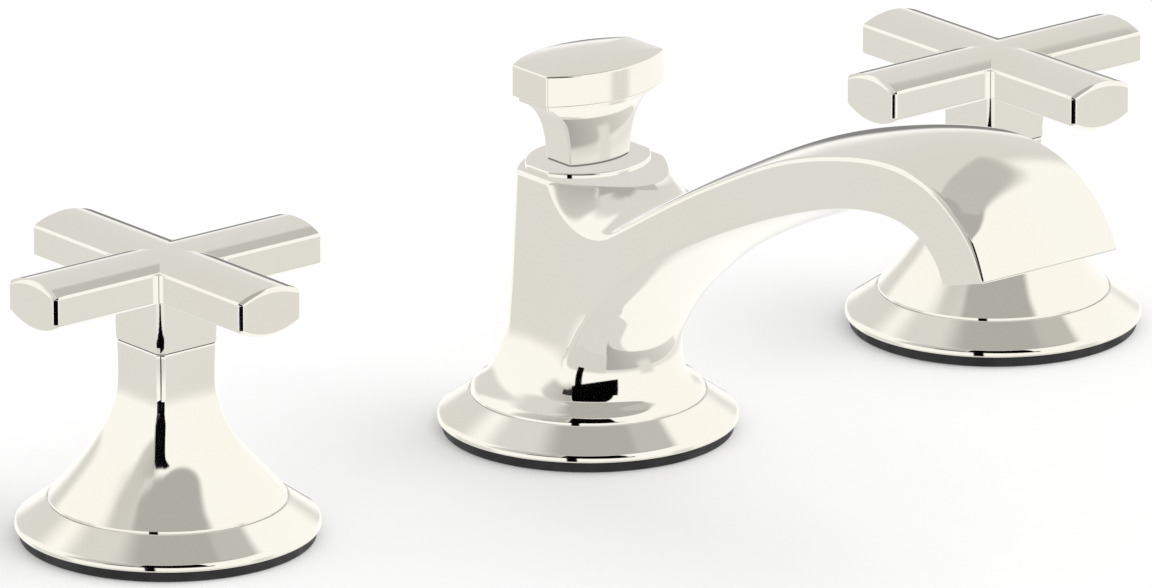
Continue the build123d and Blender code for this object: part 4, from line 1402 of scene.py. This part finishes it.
def square_outline(
    corner: np.ndarray, side: np.ndarray, flat: np.ndarray, blend: np.ndarray
) -> np.ndarray:
    """Outlines of a square with flattened corners, or a circle where corner and side agree.

    The distance from the axis, at each turn, is the rounded minimum of the distance to the
    corner's flat, c / cos(turn from the diagonal), and to the side's arc through its middle
    and the flats' ends, which bow out a little. As the corner and the side come to agree,
    both become the circle. The turns are closest together beside the corners.

    Args:
        corner: Distance from the axis to the corners' flats, one per level.
        side: Distance to the middles of the sides.
        flat: Width of a corner's flat.
        blend: Blend of the rounding between the two.

    Returns:
        Points, levels by points by 2.
    """
    corner, side, flat, blend = (value[:, None] for value in (corner, side, flat, blend))
    half_flat = flat / 2
    squareness = np.minimum(1, (corner - side) / half_flat)
    reach = np.sqrt(corner**2 + squareness * half_flat**2)
    half_angle = np.arctan2(half_flat, corner)
    near = np.array([0, 0.006, 0.014, 0.03, 0.054, 0.08, 0.12, 0.18, 0.26, 0.36, 0.48])
    side_share = np.concatenate([near, 1 - near[::-1]])
    corner_share = np.array([0.03, 0.07, 0.14, 0.5, 0.86, 0.93, 0.97])
    eighth, wide = math.pi / 4, half_angle[..., None]
    side_turn = -eighth + wide + (2 * eighth - 2 * wide) * side_share
    corner_turn = eighth - wide + 2 * wide * corner_share
    turn = np.concatenate([side_turn, corner_turn], axis=-1)
    turn = (turn + np.arange(4)[:, None] * 2 * eighth).reshape(len(corner), -1)
    local = (turn + eighth) % (2 * eighth) - eighth
    end_x, end_y = reach * np.cos(eighth - half_angle), reach * np.sin(eighth - half_angle)
    bulge = side - end_x
    big = (end_y**2 + bulge**2) / (2 * np.maximum(bulge, TINY))
    to_side = ray_to_circle(local, side - big, 0, big)
    off = np.abs(local) - eighth
    crown = corner + FLAT_CROWN * squareness
    lift = np.maximum(crown - reach * np.cos(half_angle), TINY)
    flat_half = reach * np.sin(half_angle)
    round_radius = (flat_half**2 + lift**2) / (2 * lift)
    to_corner = ray_to_circle(off, crown - round_radius, 0, round_radius)
    distance = soft_less(to_side, to_corner, blend)
    return distance[..., None] * ring_points(turn)


@dataclass
class Bell:
    """Flared cover under a handle: square at its neck, round at its foot."""

    at: float
    prefix: str
    foot_radius: float = 22.4
    seat_level: float = 6.6
    foot_level: float = 8.1
    waist_level: float = 33.0
    top: float = 38.3
    waist: tuple = (9.1, 7.0)
    top_sizes: tuple = (9.25, 7.1)
    corner_flat: float = 2.0
    top_edge: float = 0.3
    blend: float = 0.06
    blend_fade: float = 8.0
    levels: int = 72
    shares: tuple = (
        (0.0000, 1.0000, 1.0000),
        (0.0667, 0.8897, 0.9019),
        (0.1458, 0.7574, 0.7872),
        (0.2851, 0.5368, 0.5782),
        (0.4004, 0.3676, 0.3974),
        (0.5221, 0.2191, 0.2244),
        (0.6386, 0.1103, 0.0929),
        (0.7350, 0.0478, 0.0288),
        (0.8273, 0.0140, 0.0064),
        (1.0000, 0.0000, 0.0000),
    )

    def build(self, dresser: Dresser) -> None:
        """Stacks outlines whose corner and side follow splines of the shares; rounds the top.

        Args:
            dresser: Gives the piece its body, material and nodes.
        """
        rows = np.array(self.shares)
        waist = np.array(self.waist)
        height = self.waist_level - self.foot_level
        knots = np.append(self.foot_level + height * rows[:, 0], self.top)
        sizes = np.vstack([waist + (self.foot_radius - waist) * rows[:, 1:], self.top_sizes])
        level = np.linspace(self.foot_level, self.top - self.top_edge, self.levels)
        corner, side = spline(knots, sizes, level).T
        side = np.minimum(side, corner)
        quarter = np.linspace(0, math.pi / 2, 6)[1:]
        inset = self.top_edge * (1 - np.cos(quarter))
        corner = np.concatenate([corner[:1], corner, corner[-1] - inset])
        side = np.concatenate([side[:1], side, side[-1] - inset])
        rounding = self.top - self.top_edge * (1 - np.sin(quarter))
        level = np.concatenate([[self.seat_level], level, rounding])
        blend = self.blend * smooth_step((level - self.foot_level) / self.blend_fade)
        outlines = square_outline(corner, side, np.full(len(level), self.corner_flat), blend)
        shell = Shell()
        shell.stack(lifted(outlines, level, self.at))
        name = f"{self.prefix}_bell"
        dresser.dress(shell.piece(f"{name}_polished"), Body.ROOT, Slot.NICKEL, name)


@dataclass
class CrossHandle:
    """Cross of four mitred bars on a square hub."""

    at: float
    prefix: str
    body: Body
    span: float = 63.4
    width: float = 14.65
    flat_bottom: float = 49.0
    flat_top: float = 54.6
    top_bow: float = 1.7
    bottom_bow: float = 2.1
    corner_facet: float = 2.2
    hub_bottom: float = 38.5
    hub_corner: tuple = (9.4, 9.75)
    hub_side: tuple = (7.2, 7.325)
    hub_flat: tuple = (2.0, 2.3)
    hub_edge: float = 0.3
    hub_lap: float = 1.2
    hub_blend: float = 0.06
    edge: float = 0.7
    least_edge: float = 0.06
    groin: float = 0.12
    groin_level: float = 2.0
    chamfer: float = 0.12
    block_depth: float = 3.0
    rounding: tuple = (
        (0.90, 0.00),
        (0.80, 0.02),
        (0.70, 0.07),
        (0.09, 0.68),
        (0.03, 0.76),
        (0.00, 0.86),
    )
    near: tuple = (0, 0.06, 0.13, 0.22, 0.34, 0.5, 0.75, 1.2, 2.0, 3.5, 6.0, 9.0)

    def faces(self) -> tuple:
        """Level, bow and way up of a bar's top and of its underside."""
        return (self.flat_top, self.top_bow, 1), (self.flat_bottom, self.bottom_bow, -1)

    def bar_outline(self, inset: float = 0.0) -> np.ndarray:
        """Outline (p, z) of a bar: flat sides, crowned top, bellied underside, rounded edges.

        Top and underside are arcs of radius (h squared + b squared) / 2b, and each edge's
        centre lies at h - r across and R - r from the arc's centre.

        Args:
            inset: How far every side moves inwards.

        Returns:
            Points in order, from the middle of the underside.
        """
        half = self.width / 2 - inset
        edge = max(self.edge - inset, self.least_edge)
        parts = []
        for flat, bow, way in self.faces():
            big = (self.width**2 / 4 + bow**2) / (2 * bow)
            centre = flat + way * (bow - big)
            big -= inset
            up = math.sqrt((big - edge) ** 2 - (half - edge) ** 2)
            touch = math.atan2(up, half - edge)
            small = (half - edge, up) + edge * ring_points(np.linspace(0, touch, 9))
            large = big * ring_points(np.linspace(touch, math.pi / 2, 15)[1:])
            parts.append(np.concatenate([small, large]) * (1, way) + (0, centre))
        top, bottom = parts
        wall = np.linspace(bottom[0], top[0], 5)[1:-1]
        right = np.concatenate([bottom[::-1], wall, top])
        return np.concatenate([right, (right * (-1, 1))[::-1][1:-1]])

    def bar(self) -> np.ndarray:
        """One bar along +u: each line of its skin runs from the diagonal u = |p| to the end.

        Returns:
            Points (u, p, z), stations by outline points by 3.
        """
        outline = self.bar_outline()
        start = np.abs(outline[:, 0])
        end = self.span / 2
        reach = end - self.rounding[0][0]
        shifts = np.minimum(np.array(self.near)[:, None], reach - start)
        rows = [np.column_stack([start + shift, outline]) for shift in shifts]
        for share in np.linspace(0, 1, 8)[1:-1]:
            along = (start + self.near[-1]) * (1 - share) + reach * share
            rows.append(np.column_stack([along, outline]))
        for back, inset in self.rounding:
            shrunk = self.bar_outline(inset)
            rows.append(np.column_stack([np.full(len(shrunk), end - back), shrunk]))
        return self.soften_valley(np.stack(rows))

    def soften_valley(self, rows: np.ndarray) -> np.ndarray:
        """Rounds the groin where two bars' tops, or undersides, cross.

        Where u is under half the width, the level is the rounded maximum of the bar's own
        height at p and its neighbour's at u, and the rounded minimum on the underside.

        Args:
            rows: The bar's points (u, p, z).

        Returns:
            The same points with their new levels.
        """
        across, off, level = rows[..., 0], np.abs(rows[..., 1]), rows[..., 2]
        half, middle = self.width / 2, (self.flat_top + self.flat_bottom) / 2
        inside = (across < half - self.edge) & (off < half - self.edge)
        for flat, bow, way in self.faces():
            big = (half**2 + bow**2) / (2 * bow)
            centre = flat + way * (bow - big)
            other = centre + way * np.sqrt(big**2 - np.minimum(across, half) ** 2)
            mine = centre + way * np.sqrt(big**2 - np.minimum(off, half) ** 2)
            blend = np.full_like(mine, self.groin)
            rounded = -way * soft_less(-way * mine, -way * other, blend)
            chosen = inside & (way * (level - middle) > self.groin_level)
            level = np.where(chosen, level + rounded - mine, level)
        rows[..., 2] = level
        return rows

    def corner_block(self) -> np.ndarray:
        """Outline of the block behind an inner corner, whose front is a hollow arc."""
        wide = np.linspace(-self.corner_facet / 2, self.corner_facet / 2, 13)
        hollow = self.corner_facet / math.sqrt(2)
        front = (self.width / 2 + hollow) * math.sqrt(2) - np.sqrt(hollow**2 - wide**2)
        back = front[0] - self.block_depth
        return np.vstack([(back, wide[0]), np.column_stack([front, wide]), (back, wide[-1])])

    def hub(self) -> np.ndarray:
        """Loops of the hub, which widens by a steady slope above its rounded lower edge."""
        quarter = np.linspace(0, math.pi / 2, 6)[:-1]
        rise = np.linspace(self.hub_bottom + self.hub_edge, self.flat_bottom + self.hub_lap, 12)
        level = np.append(self.hub_bottom + self.hub_edge * (1 - np.cos(quarter)), rise)
        inset = np.append(self.hub_edge * (1 - np.sin(quarter)), np.zeros(len(rise)))
        share = np.append(np.zeros(len(quarter)), np.linspace(0, 1, len(rise)))
        sizes = (self.hub_corner, self.hub_side, self.hub_flat)
        corner, side, flat = (low + (high - low) * share for low, high in sizes)
        blend = np.full(len(level), self.hub_blend)
        return lifted(square_outline(corner - inset, side - inset, flat, blend), level, self.at)

    def build(self, dresser: Dresser) -> None:
        """Turns the bar four times, fills the inner corners and adds the hub.

        Args:
            dresser: Gives the piece its body, material and nodes.
        """
        shell = Shell()
        bar, block = self.bar(), self.corner_block()
        heights = (
            (self.flat_bottom, self.chamfer),
            (self.flat_bottom + self.chamfer, 0.0),
            (self.flat_top - self.chamfer, 0.0),
            (self.flat_top, self.chamfer),
        )
        for turn in np.arange(4) * math.pi / 2:
            skin = spun(bar, turn) + (self.at, 0, 0)
            shell.grid(skin, closed=True)
            shell.polygon(skin[-1])
            corner = [
                lifted(spun(block - (inset, 0), turn + math.pi / 4), level, self.at)
                for level, inset in heights
            ]
            shell.stack(np.stack(corner))
        shell.stack(self.hub())
        name = f"{self.prefix}_cross"
        dresser.dress(shell.piece(f"{name}_polished"), self.body, Slot.NICKEL, f"{name}_handle")


# Set


@dataclass(frozen=True)
class Card:
    """A card or an opening in the studio's walls, as a range of directions.

    Azimuth is 0 towards the front and grows to the right; elevation is 0 at the horizon.
    The lower edge rises by slant, and the level by drift, per degree of azimuth.
    """

    left: float
    right: float
    low: float
    high: float
    level: float
    soft: float = 1.5
    slant: float = 0.0
    drift: float = 0.0

    def over(self, behind: Wire, azimuth: Wire, elevation: Wire) -> Wire:
        """The level of the studio with this card in front of what is behind it.

        Args:
            behind: Level without the card.
            azimuth: Azimuth of the direction, in degrees.
            elevation: Elevation of the direction, in degrees.

        Returns:
            behind + (level - behind) times a smooth step about each edge.
        """
        half = (self.right - self.left) / 2
        off = azimuth.wrapped((self.left + self.right) / 2)
        above = elevation - off * self.slant if self.slant else elevation
        level = off * self.drift + self.level if self.drift else self.level
        mask = off.size().between(half + self.soft, half - self.soft)
        mask = mask * above.between(self.low - self.soft, self.low + self.soft)
        mask = mask * elevation.between(self.high + self.soft, self.high - self.soft)
        return behind + (level - behind) * mask


@dataclass
class Studio:
    """Camera, white deck and a studio of pale walls, grey cards and black flags."""

    camera_at: tuple = (-2.0132, -2.4587, 1.0517)
    target: tuple = (-0.00297, 0.0, 0.02722)
    lens: float = 548.5
    ceiling: float = 0.5
    wall: float = 1.13
    ground: float = 0.82
    ground_edge: tuple = (-27, -17)
    ceiling_edge: tuple = (56, 59)
    room: float = 0.8
    sun: float = 1.1
    sun_spread: float = 60.0
    sun_way: tuple = (-0.55, 0.45, -0.70)
    deck_half: float = 4.0
    deck_shadow: float = 0.85
    deck_pale: tuple = (0.85, 0.85, 0.85, 1)
    cards: tuple = (
        Card(-185, -92, 50, 74, 0.80, 6.0),
        Card(-120, -60, 4, 57, 0.60, 6.0, drift=-0.004),
        Card(118, 185, 5, 72, 0.80, 6.0),
        Card(70, 128, 50, 72, 0.60, 2.0, slant=-0.35),
        Card(26, 142, -100, -27, 1.13, 6.0),
        Card(-19, 108, -56, -28, 0.66, 1.5, slant=0.30, drift=0.0032),
        Card(-105, -19, -58, -21, 0.78, 3.0),
        Card(-60, -9, 0.5, 54, 0.0, 1.0, slant=-0.22),
        Card(-30, -4, -3, 8, 0.0, 1.0, slant=-0.22),
        Card(-86, -59, 8, 18, 0.04, 1.2),
        Card(-55.5, -47.5, -27, 8, 0.0, 0.6),
        Card(-160, -116, -45, -12, 0.84, 5.0),
        Card(28, 48, -40, -12, 0.86, 5.0),
        Card(135, 146, -12, 0, 0.25, 2.5),
    )

    def camera(self) -> None:
        """Places the camera at the photograph's viewing angle."""
        data = bpy.data.cameras.new("camera")
        data.sensor_width = 36.0
        data.lens = self.lens
        data.clip_end = 100.0
        camera = bpy.data.objects.new("camera", data)
        bpy.context.scene.collection.objects.link(camera)
        look = Vector(self.target) - Vector(self.camera_at)
        turn = look.to_track_quat("-Z", "Y").to_matrix().to_4x4()
        camera.matrix_world = Matrix.Translation(self.camera_at) @ turn
        bpy.context.scene.camera = camera

    def floor(self) -> None:
        """Lays a white deck at the gaskets' undersides, which keeps a light shadow."""
        mesh = bpy.data.meshes.new("deck")
        half = self.deck_half
        corners = [(-half, -half, 0), (half, -half, 0), (half, half, 0), (-half, half, 0)]
        mesh.from_pydata(corners, [], [(0, 1, 2, 3)])
        deck = bpy.data.objects.new("deck", mesh)
        deck.visible_glossy = False
        bpy.context.scene.collection.objects.link(deck)
        material = bpy.data.materials.new("white_deck")
        paint = Paint(material)
        seen = paint.node("ShaderNodeLightPath", out="Is Camera Ray")
        glow = paint.node("ShaderNodeEmission", {}, Color=WHITE, Strength=1.0)
        matt = paint.node("ShaderNodeBsdfDiffuse", {}, Color=WHITE)
        white = paint.node("ShaderNodeMixShader", {}, self.deck_shadow, glow, matt)
        pale = paint.node("ShaderNodeBsdfDiffuse", {}, Color=self.deck_pale)
        look = paint.node("ShaderNodeMixShader", {}, seen, pale, white)
        paint.node("ShaderNodeOutputMaterial", {}, look)
        mesh.materials.append(material)

    def light(self) -> None:
        """Surrounds the faucet with the studio, which polished metal shows, in even light.

        Every card stands in front of those listed before it.
        """
        world = bpy.data.worlds.new("studio")
        bpy.context.scene.world = world
        paint = Paint(world)
        x, y, z = (
            paint.node(
                "ShaderNodeSeparateXYZ",
                {},
                paint.node("ShaderNodeTexCoord", out="Generated"),
                out=axis,
            )
            for axis in range(3)
        )
        azimuth = (x.angle_from(y * -1.0)) * math.degrees(1)
        elevation = z.arcsine() * math.degrees(1)
        level = elevation.between(*self.ground_edge, self.ground, self.wall)
        level = level + elevation.between(*self.ceiling_edge) * (self.ceiling - self.wall)
        for card in self.cards:
            level = card.over(level, azimuth, elevation)
        mirrored = paint.node("ShaderNodeLightPath", out="Is Glossy Ray")
        level = level * mirrored + (1 - mirrored) * self.room
        seen = paint.node("ShaderNodeLightPath", out="Is Camera Ray")
        level = level * (1 - seen) + seen
        room = paint.node("ShaderNodeBackground", {}, Color=WHITE, Strength=level)
        paint.node("ShaderNodeOutputWorld", {}, room)
        lamp = bpy.data.lights.new("soft_sun", "SUN")
        lamp.energy, lamp.angle = self.sun, math.radians(self.sun_spread)
        sun = bpy.data.objects.new("soft_sun", lamp)
        sun.rotation_euler = Vector(self.sun_way).to_track_quat("-Z", "Y").to_euler()
        sun.visible_glossy = False
        bpy.context.scene.collection.objects.link(sun)

    @staticmethod
    def plain_reflections() -> None:
        """Lets the polish show the studio alone, as the photograph does, and not its neighbours."""
        for thing in bpy.context.scene.objects:
            thing.visible_glossy = False

    def build(self) -> None:
        """Sets camera, floor, light and the plain view transform."""
        self.camera()
        self.floor()
        self.light()
        bpy.context.scene.view_settings.view_transform = "Standard"


def main() -> None:
    """Builds the set and the faucet, sub-assembly by sub-assembly."""
    Studio().build()
    dresser = Dresser(finishes())
    dresser.dress_solids()
    for prefix, at in (("spout", 0.0), ("hot", -HANDLE_OFFSET), ("cold", HANDLE_OFFSET)):
        BaseRing(at, prefix).build(dresser)
    SpoutBody().build(dresser)
    LiftKnob().build(dresser)
    for prefix, at, body in (("hot", -HANDLE_OFFSET, Body.HOT), ("cold", HANDLE_OFFSET, Body.COLD)):
        Bell(at, prefix).build(dresser)
        CrossHandle(at, prefix, body).build(dresser)
    Studio.plain_reflections()


if __name__ == "__main__":
    logging.basicConfig(level=logging.INFO, format="%(name)s %(message)s")
    main()
